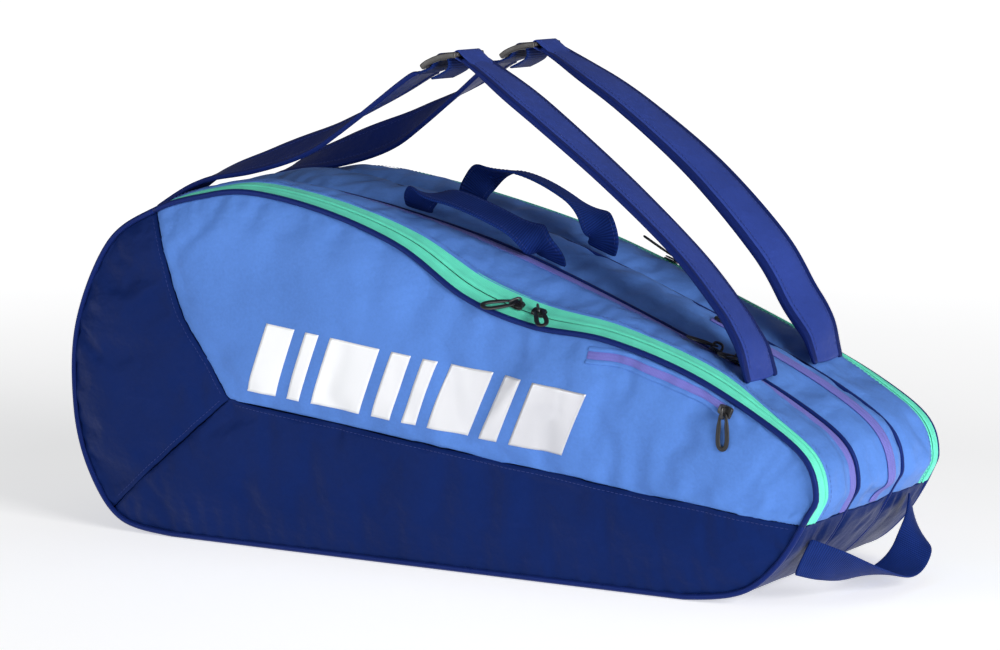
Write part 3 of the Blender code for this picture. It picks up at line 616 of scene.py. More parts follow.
BLUE = coated_cloth("blue_cloth", (0.098, 0.232, 0.640), 0.44)
NAVY = coated_cloth("navy_cloth", (0.0060, 0.0185, 0.105), 0.40, 0.012, 0.0016, 0.12)
STRAP_CLOTH = coated_cloth("strap_cloth", (0.030, 0.058, 0.285), 0.40)
LOWER_CLOTH = coated_cloth("lower_strap_cloth", (0.004, 0.014, 0.110), 0.42)
BINDING = coated_cloth("binding_cloth", (0.006, 0.015, 0.105), 0.42, 0.02, 0.0002)
PIPING = coated_cloth("piping_cloth", (0.008, 0.020, 0.125), 0.30, 0.02, 0.0001)
LINING = coated_cloth("lining_cloth", (0.025, 0.030, 0.050), 0.65, 0.02, 0.0008)
WEBBING = ribbed_webbing("webbing", (0.007, 0.022, 0.130))
MINT = zip_cloth("mint_zip_cloth", (0.140, 0.840, 0.600))
VIOLET = zip_cloth("violet_zip_cloth", (0.165, 0.165, 0.560))
LOCK = moulded("lock_plastic", (0.046, 0.042, 0.040), 0.34)
RUBBER = moulded("puller_rubber", (0.008, 0.008, 0.010), 0.45)
METAL = lacquered("slider_metal", (0.012, 0.012, 0.014))
FILM = printed_film("silver_film")
BLUE_THREAD = spun_thread("blue_thread", (0.070, 0.150, 0.480))
NAVY_THREAD = spun_thread("navy_thread", (0.018, 0.040, 0.220))


# ---------------------------------------------------------------- outer panels
COLUMNS, ROWS = 150, 62
BASE_INSET, PANEL_INSET, REAR_RIM = 0.0026, 0.0012, 0.0020
DENT, DENT_DEPTH = [(-0.365, 0.180), (-0.3445, 0.163)], 0.0034  # a crease in the front's navy end
SEAM_GROOVE, SEAM_PUCKER, RIM_PUCKER = 0.0016, 0.0009, 0.0010
# waves pressed into the cloth by handling: height, stretch, size and seed of each
PANEL_WAVES = [(0.0022, (0.55, 1, 1), 0.085, 3), (0.0008, (1, 1, 0.6), 0.034, 5)]
GUSSET_WAVES = [(0.0020, (0.7, 1, 0.7), 0.055, 0), (0.0010, (1, 0.6, 1), 0.022, 1)]
PLEAT, PINCH, EDGE_PUCKER, EDGE_GROOVE = 0.0075, 0.0045, 0.0011, 0.0010  # heights on a gusset
SURFACES = {}  # each outer panel's settled face, by side


def panel_outline(side):
    """The panel's edge in x and z, and its top and bottom lines from left to right."""
    places = np.linspace(0, LAST + 1, 660, endpoint=False)
    point, normal, base = station(places, np.full(len(places), side * DEPTH / 2))
    rim = (REAR_RIM if side > 0 else 0.0) * (places > ZIP_START) * (places < ZIP_END)
    edge = point - normal * (PANEL_INSET + rim + BASE_INSET * base)[:, None]
    left, right = int(edge[:, 0].argmin()), int(edge[:, 0].argmax())
    return edge, edge[left:right + 1], np.vstack([edge[right:], edge[:left + 1]])[::-1]


def zip_ends(side):
    """Where a main zip starts and ends, in x and z."""
    return (outline_point(u, side * DEPTH / 2) for u in (ZIP_START, ZIP_END))


def seam_lines(side):
    """The colour seams of an outer panel, each a path of points in x and z."""
    start, end = (tuple(point) for point in zip_ends(side))
    return [[SEAM_MEET, *END_SEAM, start], [SEAM_MEET, CORNER_SEAM_FAR], [SEAM_MEET, end]]


def line_distance(points, path):
    """How far points are from a path, and how far along the path their nearest point is."""
    nearest, run, passed = np.full(len(points), np.inf), np.zeros(len(points)), 0.0
    for a, b in zip(path, path[1:]):
        a, along = np.array(a), np.array(b) - np.array(a)
        length = np.linalg.norm(along)
        share = np.clip(((points - a) @ along) / length**2, 0, 1)
        gap = np.linalg.norm(points - a - share[:, None] * along, axis=1)
        run = np.where(gap < nearest, passed + share * length, run)
        nearest = np.minimum(nearest, gap)
        passed += length
    return nearest, run


def panel_depth(side, points, edge):
    """Depth of the panel's outer face at points in x and z: swell, handling waves and seams."""
    chunks = [np.linalg.norm(points[k:k + 2000, None] - edge[None], axis=2)
              for k in range(0, len(points), 2000)]
    nearest = np.concatenate([gaps.argmin(axis=1) for gaps in chunks])
    distance = np.concatenate([gaps.min(axis=1) for gaps in chunks])
    swell = PANEL_BULGE * (1 - (1 - np.minimum(distance / BULGE_RUN, 1))**2)
    flat = points_from(points[:, 0], 0.0, points[:, 1])
    inside = smoothstep(distance / 0.030)
    for height, stretch, size, seed in PANEL_WAVES:
        swell = swell + height * inside * value_noise(flat * stretch, size, seed + side)
    rim = points_from(edge[nearest][:, 0], 0.0, edge[nearest][:, 1])
    pucker = value_noise(rim, 0.011, 7 + side) * np.exp(-distance / 0.014) * smoothstep(distance / 0.004)
    swell = swell + RIM_PUCKER * pucker
    closest = np.full(len(points), np.inf)
    for n, path in enumerate(seam_lines(side)):
        gap, run = line_distance(points, path)
        closest = np.minimum(closest, gap)
        pucker = value_noise(points_from(run, n, 0.0), 0.013, 11 + n)
        swell = swell + SEAM_PUCKER * pucker * np.exp(-gap / 0.012)
    swell = swell - SEAM_GROOVE * np.exp(-((closest / 0.0034) ** 2))
    if side < 0:
        swell = swell - DENT_DEPTH * np.exp(-((line_distance(points, DENT)[0] / 0.0050) ** 2))
    return side * (DEPTH / 2 + swell)


def inside_polygon(point, polygon):
    inside = False
    for (ax, az), (bx, bz) in zip(polygon, polygon[1:] + polygon[:1]):
        if (az > point[1]) != (bz > point[1]) and point[0] < ax + (point[1] - az) * (bx - ax) / (bz - az):
            inside = not inside
    return inside


def fold_bend(side, name):
    """The bend given for fabric across a panel's fold: root, the flap, a point just below the fold and one
    above.
    """
    start, end = zip_ends(side)
    up = upright(unit((end - start)[None]))[0]
    low, high = ((start + end) / 2 + up * rise for rise in (-0.004, 0.034))
    y = side * FOLD_Y
    return ("root", f"{name}_flap", (low[0], y, low[1]), (high[0], y, high[1]))


def flat_panel(side, top, bottom):
    """A fine flat mesh, in x and z, between the panel's top and bottom lines, cut along its seams."""
    angle = np.linspace(0.035, math.pi - 0.035, COLUMNS)
    middle, half = (top[0, 0] + top[-1, 0]) / 2, (top[-1, 0] - top[0, 0]) / 2
    xs = middle - half * np.cos(angle)
    high, low = (np.interp(xs, line[:, 0], line[:, 1])[:, None] for line in (top, bottom))
    share = (1 - np.cos(np.linspace(0, math.pi, ROWS))) / 2 * 0.45 + np.linspace(0, 1, ROWS) * 0.55
    points = points_from(xs[:, None], low + (high - low) * share[None]).reshape(-1, 2)
    bm = bmesh.new()
    verts = [bm.verts.new((x, 0.0, z)) for x, z in points]
    for i in range(COLUMNS - 1):
        for k in range(i * ROWS, i * ROWS + ROWS - 1):
            corners = (verts[k], verts[k + 1], verts[k + ROWS + 1], verts[k + ROWS])
            bm.faces.new(corners if side > 0 else corners[::-1])
    for path in seam_lines(side):
        for a, b in zip(path, path[1:]):
            middles = [face.calc_center_median() for face in bm.faces]
            gap = line_distance(np.array([(c.x, c.z) for c in middles]), [a, b])[0]
            near = [face for face, far in zip(bm.faces, gap) if far < 0.010]
            parts = {part for face in near for part in (face, *face.edges, *face.verts)}
            bmesh.ops.bisect_plane(bm, geom=list(parts), dist=1e-6, plane_co=(a[0], 0.0, a[1]),
                                   plane_no=(-(b[1] - a[1]), 0.0, b[0] - a[0]))
    bm.faces.index_update()
    bm.verts.index_update()
    bm.verts.ensure_lookup_table()
    return bm


def build_panels(name, side):
    """The navy end and lower pieces, and the blue piece that crosses the fold."""
    edge, top, bottom = panel_outline(side)
    bm = flat_panel(side, top, bottom)
    flat = np.array([(v.co.x, v.co.z) for v in bm.verts])
    for v, y in zip(bm.verts, panel_depth(side, flat, edge)):
        v.co.y = y
    start, end = seam_lines(side)[0][-1], seam_lines(side)[2][-1]
    regions = {
        "panel_end": [SEAM_MEET, *END_SEAM, start, (start[0] + 0.001, 0.6), (-0.60, 0.40), (-0.60, -0.20),
                      CORNER_SEAM_FAR],
        "panel_lower": [SEAM_MEET, CORNER_SEAM_FAR, (-0.45, -0.20), (0.60, -0.20), (0.60, end[1] - 0.08),
                        end],
    }
    owner = []
    for face in bm.faces:
        c = face.calc_center_median()
        found = [region for region, area in regions.items() if inside_polygon((c.x, c.z), area)]
        owner.append(found[0] if found else "panel_blue")
    all_points, all_faces = [], []
    for region, finish, slot, nodes, bend in (
        ("panel_end", NAVY, "navy_fabric", ["panel_end"], None),
        ("panel_lower", NAVY, "navy_fabric", ["panel_lower"], None),
        ("panel_blue", BLUE, "blue_fabric", ["panel_upper", "flap_panel"], fold_bend(side, name)),
    ):
        chosen = [face for face in bm.faces if owner[face.index] == region]
        used = sorted({v.index for face in chosen for v in face.verts})
        local = {v: k for k, v in enumerate(used)}
        coords = [bm.verts[v].co.copy() for v in used]
        faces = [[local[v.index] for v in face.verts] for face in chosen]
        uvs = [(v.co.x, v.co.z) for face in chosen for v in face.verts]
        piece = mesh_object(f"{name}_{region}", coords, faces, uvs, finish)
        turn_outwards(piece, (0, side, 0))
        settle(piece, 1.2, 0.022, 0.0045)
        shell(piece, CLOTH)
        shown = piece.evaluated_get(bpy.context.evaluated_depsgraph_get()).to_mesh()
        all_faces += [[len(all_points) + k for k in face.vertices] for face in shown.polygons]
        all_points += [v.co.copy() for v in shown.vertices]
        finish_piece(piece, [f"{name}_{node}" for node in nodes], bend=bend)
    bm.free()
    SURFACES[side] = BVHTree.FromPolygons(all_points, all_faces)


def panel_points(side, flat, lift):
    """Points on the outer face of a panel, for things printed or sewn on it."""
    points = []
    for x, z in flat:
        spot = SURFACES[side].ray_cast(Vector((x, side * 0.3, z)), Vector((0.0, -side, 0.0)))[0]
        spot = spot or SURFACES[side].find_nearest(Vector((x, side * DEPTH / 2, z)))[0]
        points.append((x, spot.y + side * lift, z))
    return np.array(points)


def build_seam_stitches(name, side):
    """Top stitching beside each colour seam: (share of the seam, distance from it) for each."""
    rows = []
    for path, (share, off) in zip(seam_lines(side), ((0.985, 0.0042), (0.60, -0.0042), (0.985, -0.0042))):
        flat = even_path([(x, 0.0, z) for x, z in path], 0.004)[:, [0, 2]]
        flat = flat[2:int(len(flat) * share)]
        flat = flat + upright(unit(np.gradient(flat, axis=0))) * off
        rows.append(stitches("row", panel_points(side, flat, 0.0001), (0, side, 0), NAVY_THREAD))
    finish_piece(join(f"{name}_seam_stitches", rows))


BARS = [(-0.178, 0.030), (-0.136, 0.014), (-0.110, 0.052), (-0.046, 0.020), (-0.014, 0.014),
        (0.012, 0.040), (0.064, 0.018), (0.094, 0.052)]  # left edge and width at the base line
BAR_SLANT = 0.024
BAR_FOOT, BAR_TALL = (0.1430, -0.0917), (0.06254, -0.0270)  # at the first bar, and change per metre


def build_bars():
    """A plain generic pattern of slanted silver bars, pressed on the front panel."""
    pieces = []
    for left, width in BARS:
        across, upward = max(int(width / 0.0025), 4), 24
        s, t = np.meshgrid(np.linspace(0, 1, across + 1), np.linspace(0, 1, upward + 1), indexing="ij")
        foot = left + width * s
        low, tall = (first + change * (foot - BARS[0][0]) for first, change in (BAR_FOOT, BAR_TALL))
        z = low + tall * t
        x = foot + BAR_SLANT * t
        points = panel_points(-1, points_from(x.ravel(), z.ravel()), 0.0003)
        bar = grid("bar", points.reshape(across + 1, upward + 1, 3), x[:, 0], z[0], FILM)
        turn_outwards(bar, (0, -1, 0))
        shell(bar, FILM_THICK, rounded=False)
        pieces.append(bar)
    finish_piece(join("front_silver_bars", pieces), bend=fold_bend(-1, "front"))


# ---------------------------------------------------------------- gussets, dividers, cords, zips
def hem_shift(x):
    """How much further a hem covers the main zip's tape near the handle end."""
    return 0.007 * smoothstep((x - 0.27) / 0.08)


def band(name, places, ys, lift, run, across, finish):
    """A sheet over the bag's skin, facing away from it: rows at places, each point at its own depth."""
    points = skin(np.repeat(places, len(across)), ys, lift).reshape(len(places), len(across), 3)
    obj = grid(name, points, run, across - across[0], finish)
    x, z = outline_normal(places[:1], 2)[0]
    turn_outwards(obj, (x, 0, z))
    return obj


def gusset(name, start, end, low, high, finish, seed, hem_low=0.0, hem_high=0.0, waves=1.0,
           flat_strip=0.0):
    """A band of cloth over the bag, puckered at its seams. hem lifts an edge that laps a tape.

    flat_strip is half the width of the middle that a zip is sewn on.
    """
    across = np.linspace(low, high, max(int((high - low) / 0.0042), 6) + 1)
    places, run = spaced(start, end if end > start else end + LAST + 1, (low + high) / 2, 0.0052)
    us, ys = (a.ravel() for a in np.meshgrid(places, across, indexing="ij"))
    to_low, to_high = ys - low, high - ys
    rim = np.minimum(to_low, to_high)
    outline_x = station(us, ys)[0][:, 0]
    share = to_low / (high - low)
    ys = ys + hem_shift(outline_x) * (share * (hem_high > 0) - (1 - share) * (hem_low > 0))
    point, length = skin(us, ys), np.repeat(run, len(across))
    inside = smoothstep(rim / 0.014)
    lift = np.zeros(len(us))
    for height, stretch, size, extra in GUSSET_WAVES:
        lift += height * inside * value_noise(point * stretch, size, seed + extra) * waves
    slack = smoothstep((outline_x - 0.23) / 0.09) * smoothstep(rim / 0.008)
    pleats = np.abs(value_noise(points_from(ys, length * 0.24, 0.0), 0.026, seed + 3))
    lift += PLEAT * slack * (0.28 - pleats) * waves
    pinch = np.exp(-(run[-1] - length) / 0.05) * smoothstep(rim / 0.008) * (finish == BLUE)
    lift += PINCH * pinch * value_noise(points_from(ys, 0.0, 0.0), 0.012, seed + 5)
    for gap, shift in ((to_low, 0.0), (to_high, 9.0)):
        pucker = value_noise(points_from(length, shift, 0.0), 0.010, seed + 2)
        lift += EDGE_PUCKER * pucker * np.exp(-gap / 0.011) * smoothstep(gap / 0.002)
    for gap, hem in ((to_low, hem_low), (to_high, hem_high)):
        lift += np.where(gap < 0.004, hem, -EDGE_GROOVE * np.exp(-gap / 0.0022) * (hem == 0))
    calm = 1 - station(us, ys)[2]
    calm = calm * np.where((outline_x > END_ZIP_X - 0.010) & (np.abs(ys) < flat_strip), 0.0, 1.0)
    obj = band(name, places, ys, lift * calm - 0.0004, run, across, finish)
    settle(obj, 1.0, 0.020, 0.0035, calm)
    shell(obj, CLOTH)
    finish_piece(obj, (name,))


def seam_cord(name, start, end, y, radius, bend=None, closed=False, sink=0.0):
    """Cord covered in cloth, sewn into a seam. Away from its ends it lies sunk by sink."""
    if closed:
        places = np.linspace(0, LAST + 1, 420, endpoint=False)
    else:
        places = spaced(start, end if end > start else end + LAST + 1, y, 0.005)[0]
    sunk = sink * smoothstep(places - start) * smoothstep(end - places)
    path = skin(places, y, -radius * station(places, y)[2] - sunk)
    obj = tube(name, path, radius, PIPING, sides=10, closed=closed)
    finish_piece(obj, (name,), bend=bend)


def tape(name, start, end, low, high, finish, coil_edge, bend=None, lift=0.0, under_hem=False):
    """One zip tape: flat, thicker where the hidden coil is, and rolled over at the coil edge."""
    across = np.linspace(low, high, 9)
    places, run = spaced(start, end, (low + high) / 2, 0.005)
    us, ys = (a.ravel() for a in np.meshgrid(places, across, indexing="ij"))
    if under_hem:
        share = np.abs(ys - coil_edge) / (high - low)
        ys = ys + math.copysign(1.0, coil_edge) * share * hem_shift(station(us, ys)[0][:, 0])
    gap = np.abs(ys - coil_edge)
    lift = lift + 0.0010 * np.exp(-(((gap - 0.0022) / 0.0018) ** 2)) - 0.0007 * np.exp(-gap / 0.0005)
    obj = band(name, places, ys, lift - 0.0006, run, across, finish)
    shell(obj, TAPE)
    finish_piece(obj, (name,), bend=bend)


def edge_stitches(name, start, end, y, lift):
    places = spaced(start, end, y, 0.004)[0]
    if abs(y) > DIVIDER_Y * 2:  # the row beside a main zip follows its hem
        y = y + math.copysign(1.0, y) * hem_shift(station(places, y)[0][:, 0])
    point = skin(places, y, lift)
    row = stitches(name, point, skin(places, y, lift + 0.01) - point, BLUE_THREAD)
    finish_piece(row)


def build_side(name, side):
    """Gussets, cords and the main zip of the front or rear compartment."""
    inner, hem, rim = DIVIDER_Y + 0.0020, MAIN_ZIP_Y - ZIP_HALF + 0.0022, DEPTH / 2 - 0.0004
    low, high = sorted((side * inner, side * hem))
    if side < 0:  # the centre pocket's zip takes the edge along the divider
        high = CENTRE_ZIP[0] + 0.0012
    gusset(f"{name}_gusset_top", ZIP_START, ZIP_END, low, high, BLUE, 21 + side,
           **{"hem_high" if side > 0 else "hem_low": 0.0009})
    gusset(f"{name}_gusset_base", ZIP_END, ZIP_START, *sorted((side * inner, side * rim)), NAVY,
           31 + side, waves=0.8)
    cord_y, bend = side * (DEPTH / 2 + 0.0012), fold_bend(side, name)
    seam_cord(f"{name}_piping_base", ZIP_END, ZIP_START, cord_y, SEAM_CORD)
    seam_cord(f"{name}_flap_piping", ZIP_START, ZIP_END, cord_y, SEAM_CORD, bend=bend,
              sink=0.0024 if side > 0 else 0.0)
    coil = side * MAIN_ZIP_Y
    fixed = sorted((side * (MAIN_ZIP_Y - ZIP_HALF), side * (MAIN_ZIP_Y - 0.0002)))
    opening = sorted((side * (MAIN_ZIP_Y + 0.0002), side * (DEPTH / 2 - 0.0016)))
    tape(f"{name}_zip_tape", ZIP_START, ZIP_END, *fixed, MINT, coil, under_hem=True)
    tape(f"{name}_flap_zip_tape", ZIP_START, ZIP_END, *opening, MINT, coil, bend=bend,
         lift=0.0010 if side > 0 else 0.0)
    edge_stitches(f"{name}_hem_stitches", ZIP_START + 0.05, ZIP_END - 0.05, side * (hem - 0.0032), 0.0008)
    seam_cord(f"{name}_divider_piping", 0, 0, side * DIVIDER_Y, DIVIDER_CORD, closed=True)


DIVIDER_SPINE = np.array([(-0.230, 0.150), (0.270, 0.095)])
DIVIDER_THICK, DIVIDER_INSET, DIVIDER_WAVE = 0.0036, 0.0036, 0.0012


def build_divider(name, side):
    """A padded board: rings of points from the bag's outline in to a line through its middle."""
    rings, spots = 26, 200
    places = np.linspace(0, LAST + 1, spots, endpoint=False)
    point, normal, base = station(places, np.full(spots, side * DIVIDER_Y))
    ring = point - normal * (DIVIDER_INSET + SEAM_CORD * base)[:, None]
    low, spine = DIVIDER_SPINE[0], DIVIDER_SPINE[1] - DIVIDER_SPINE[0]
    shares = np.linspace(1.0, 0.0, rings)
    centre = low + np.clip((ring - low) @ spine / (spine @ spine), 0, 1)[:, None] * spine
    flat = (centre[None] + (ring - centre)[None] * shares[:, None, None]).reshape(-1, 2)
    swell = value_noise(points_from(flat[:, 0], 0.0, flat[:, 1]), 0.06, 41 + side)
    depth = side * DIVIDER_Y + DIVIDER_WAVE * swell * np.repeat(smoothstep((1 - shares) * 8), spots)
    points = points_from(flat[:, 0], depth, flat[:, 1]).reshape(rings, spots, 3)
    run = run_along(np.vstack([ring, ring[:1]]))
    board = grid(f"{name}_divider", points, (1 - shares) * 0.16, run, LINING, closed=(False, True))
    solid = board.modifiers.new("Thickness", "SOLIDIFY")
    solid.thickness, solid.offset = DIVIDER_THICK, 0.0
    finish_piece(board, (f"{name}_divider",))


def build_centre():
    edge, low, high = DIVIDER_Y - 0.0020, *CENTRE_ZIP
    gusset("centre_gusset_base", ZIP_END, ZIP_START, -edge, edge, NAVY, 51, waves=0.8)
    gusset("centre_gusset_top", ZIP_START, ZIP_END, -edge, edge, BLUE, 54, flat_strip=0.011)
    tape("centre_zip_tape", ZIP_START + 0.02, ZIP_END - 0.02, low - 0.0008, high + 0.0010, VIOLET,
         (low + high) / 2, lift=0.0004)
    edge_stitches("centre_zip_stitches", *(place_at_x(x, low) for x in CENTRE_ZIP_X), low - 0.0022, 0.0001)
    tape("end_zip_tape", place_at_x(END_ZIP_X, 0.0), ZIP_END - 0.08, -END_ZIP_HALF, END_ZIP_HALF,
         VIOLET, 0.0, lift=0.0016)


POCKET_PARTS = [("pocket_zip_tape", -0.0036, 0.0036, 0.0004, VIOLET),
                ("upper_lip", 0.0030, 0.0072, 0.0006, BLUE),
                ("lower_lip", -0.0072, -0.0030, 0.0006, BLUE)]  # its edges and its lift
POCKET_PATH = [(0.168, 0.2000), (0.200, 0.1980), (0.235, 0.1885), (0.270, 0.1765), (0.302, 0.1610)]


def build_pocket_zip():
    """The front pocket's zip: a violet tape laid in a slot between two folded lips of cloth."""
    path = smooth_path([(x, 0.0, z) for x, z in POCKET_PATH], 14)[:, [0, 2]]
    up = upright(unit(np.gradient(path, axis=0)))
    up *= np.sign(up[:, 1:2])
    across = np.linspace(0, 1, 7)
    parts = []
    for name, low, high, lift, finish in POCKET_PARTS:
        rows = []
        for share in across:
            if finish == VIOLET:
                height = lift + 0.0008 * math.exp(-(((abs(share - 0.5) - 0.18) / 0.12) ** 2))
            else:
                height = lift + 0.0010 * math.sin(math.pi * share)
            rows.append(panel_points(-1, path + up * (low + (high - low) * share), height))
        part = grid(name, np.stack(rows, axis=1), run_along(path), across * abs(high - low), finish)
        turn_outwards(part, (0, -1, 0))
        shell(part, POCKET_TAPE)
        parts.append(part)
    bend = fold_bend(-1, "front")
    finish_piece(parts[0], ("pocket_zip_tape",), bend=bend)
    finish_piece(join("pocket_zip_lips", parts[1:]), bend=bend)


# ---------------------------------------------------------------- straps
PAD_FOOT = [(0.2985, 0.1800), (0.290, 0.205), (0.281, 0.220)]
HINGE_SPOT = (0.2699, 0.2358)
PAD_PATH = {
    -1: [(0.229, 0.281), (0.164, 0.3365), (0.097, 0.387), (0.047, 0.4220)],
    1: [(0.241, 0.279), (0.178, 0.342), (0.106, 0.396), (0.050, 0.4295)],
}
PAD_LEAN = {-1: math.radians(-9.0), 1: math.radians(16.0)}
LOWER_PATH = {
    -1: [(-0.0360, 0.4255), (-0.075, 0.4015), (-0.115, 0.3785), (-0.1475, 0.3625)],
    1: [(-0.0330, 0.4295), (-0.070, 0.4045), (-0.112, 0.3805), (-0.1475, 0.3625)],
}
LOWER_FOOT = [(-0.205, 0.343), (-0.262, 0.326), (-0.312, 0.2965)]
LOWER_LEAN = {-1: math.radians(32.0), 1: math.radians(50.0)}
LOCK_CENTRE = {-1: (-0.0040, 0.4405), 1: (-0.0010, 0.4445)}
LOCK_SLOPE = math.radians(16.0)
BAR_PITCH = 0.016
LOCK_BARS = [(-0.0172, -0.0012, 0.0062, 0.0046), (0.0, 0.0010, 0.0046, 0.0036),
             (BAR_PITCH, 0.0, 0.0046, 0.0036)]  # x, z, width and depth of each
TOOTH, TOOTH_PITCH = [(-0.0148, 0.0010), (-0.0132, 0.0017), (-0.0118, 0.0012)], 0.0044
RAIL_Y = 0.0226
RAIL_ARCH = [(-0.0195, -0.0022), (-0.0120, 0.0004), (0.0, 0.0016), (0.0120, 0.0006), (0.0180, -0.0006)]
TAIL_PATH = [(-0.0280, -0.0050), (-0.0190, -0.0046), (-0.0130, -0.0038), (-0.0080, 0.0002),
             (-0.0040, 0.0042), (0.0010, 0.0046), (0.0050, 0.0005), (0.0060, -0.0050),
             (0.0030, -0.0096), (-0.0050, -0.0118), (-0.0150, -0.0134)]  # over and under the bars
PAD_WIDTH, PAD_THICK, PAD_PRESSED, PAD_STEP = 0.053, 0.0088, 0.0030, 0.006
PAD_TAPER = 0.26  # how much narrower the pad gets at the lock
LOWER_WIDTH, LOWER_THICK, WEB_WIDTH = 0.039, 0.0030, 0.0375


def bound_edge(path, sides, width, thickness, edge=0.5):
    binding = strip("binding", path, sides, width, thickness, flat_section(4, edge), BINDING)
    soften(binding)
    return binding


def leaning(turn):
    """Directions across a strap, turned by these angles from +Y up to +Z."""
    return points_from(0.0, np.cos(turn), np.sin(turn))


def build_pad(name, side):
    """Padded shoulder strap: crowned cloth over foam, its two edges bound with folded tape."""
    y = side * STRAP_Y
    spots = [Vector((x, y, z)) for x, z in [*PAD_FOOT, HINGE_SPOT, *PAD_PATH[side]]]
    bar = lock_frame(side) @ Vector((BAR_PITCH, 0.0, 0.0))
    near_lock = bar + (spots[-1] - bar).normalized() * 0.0068
    path = even_path([*spots, near_lock], PAD_STEP)
    run = np.arange(len(path)) * PAD_STEP
    left = run[-1] - run
    up = smoothstep(run / 0.053) * (1 - smoothstep((run - 0.053) / (run[-1] - 0.053)))
    sides = leaning(PAD_LEAN[side] * up)
    press = smoothstep(run / 0.035) * smoothstep((left + 0.006) / 0.060)
    thick = PAD_PRESSED + (PAD_THICK - PAD_PRESSED) * press
    width = PAD_WIDTH * (1 - PAD_TAPER * (1 - smoothstep(left / 0.070)))
    wrinkle = value_noise(path, 0.030, 61 + side) * 0.0007 + value_noise(path, 0.012, 63) * 0.0003
    pad = strip(f"{name}_strap_pad", path, sides, width, thick + wrinkle, crowned_section(11), STRAP_CLOTH)
    soften(pad)
    flat, face = frame_path(path, sides)
    binding = [bound_edge(path + flat * (edge * (width / 2 - 0.0012))[:, None], sides, 0.0078,
                          thick * 0.42 + 0.0016, 0.6) for edge in (-1, 1)]
    row, rise = (width / 2 - 0.0074)[:, None], (thick * 0.46)[:, None]
    rows = edge_rows(path[2:-1], flat[2:-1], face[2:-1], row[2:-1], rise[2:-1])
    for n in (-5, -3):
        across = np.linspace(-0.42, 0.42, 12)[:, None] * width[n]
        bar_tack = path[n] + flat[n] * across + face[n] * thick[n] * 0.5
        rows.append(stitches("bar", bar_tack, face[n], NAVY_THREAD))
    bend = ("root", f"{name}_strap", tuple(path[4]), tuple(path[12]))
    finish_piece(pad, (f"{name}_strap_pad", f"{name}_pad_foot"), bend=bend)
    finish_piece(join(f"{name}_pad_binding", binding), bend=bend)
    finish_piece(join(f"{name}_pad_stitches", rows), bend=bend)


def lock_frame(side):
    x, z = LOCK_CENTRE[side]
    centre = Matrix.Translation((x, side * STRAP_Y, z))
    return centre @ Matrix.Rotation(-LOCK_SLOPE, 4, "Y")


def build_tab(name, side):
    """The pad's own cloth, folded round the lock's first bar and sewn back inside the pad."""
    inner, thick, leg, reach = 0.0026, 0.0014, 0.0009, 0.018
    place = lock_frame(side)
    x, z = PAD_PATH[side][-1]
    towards = place.inverted() @ Vector((x, side * STRAP_Y, z))
    away = math.atan2(towards.z, towards.x - BAR_PITCH)
    out, up = Vector((math.cos(away), 0.0, math.sin(away))), Vector((-math.sin(away), 0.0, math.cos(away)))
    path = [out * reach + up * leg]
    for degrees in range(90, 271, 20):
        turn = math.radians(degrees)
        path.append((out * math.cos(turn) + up * math.sin(turn)) * (inner + thick / 2))
    path.append(out * reach - up * leg)
    path = even_path([place @ (Vector((BAR_PITCH, 0.0, 0.0)) + spot) for spot in path], 0.0022)
    tab = strip(f"{name}_tab", path, ACROSS, WEB_WIDTH, thick, flat_section(6), STRAP_CLOTH)
    finish_piece(tab, body=f"{name}_strap")


def build_lower_strap(name, side):
    """Flat lower strap with bound edges: one piece at its sewn foot, one up to the lock."""
    into_lock = lock_frame(side) @ Vector((-0.0275, 0.0, -0.0050))
    spots = [(x, side * STRAP_Y, z) for x, z in LOWER_PATH[side] + LOWER_FOOT]
    path = even_path([into_lock, *spots], 0.005)
    count = len(path)
    split, foot = int(count * 0.24), int(count * 0.50)
    share = np.linspace(0, 1, count)
    sides = leaning(LOWER_LEAN[side] * smoothstep(share / 0.50) * (1 - smoothstep((share - 0.50) / 0.50)))
    flat, face = frame_path(path, sides)
    strap, sewn = f"{name}_strap", (f"{name}_lower_strap", f"{name}_strap_foot")
    for label, a, b, nodes, first, second, start, end in (
        ("top", 0, split + 2, (), strap, f"{name}_lock", int(split * 0.6), 0),
        ("foot", split - 1, count, sewn, "root", strap, foot + 5, foot - 6),
    ):
        bend = (first, second, tuple(path[start]), tuple(path[end]))
        line, across, out = path[a:b], flat[a:b], face[a:b]
        body = strip(f"{name}_lower_strap_{label}", line, sides[a:b], LOWER_WIDTH, LOWER_THICK,
                     flat_section(9), LOWER_CLOTH)
        soften(body)
        edges = [bound_edge(line + across * edge * (LOWER_WIDTH / 2 - 0.0022), sides[a:b], 0.0064, 0.0044)
                 for edge in (-1, 1)]
        rows = edge_rows(line, across, out, LOWER_WIDTH / 2 - 0.0064, 0.0016)
        finish_piece(body, nodes, bend=bend)
        finish_piece(join(f"{name}_lower_binding_{label}", edges), bend=bend)
        finish_piece(join(f"{name}_lower_stitches_{label}", rows), bend=bend)


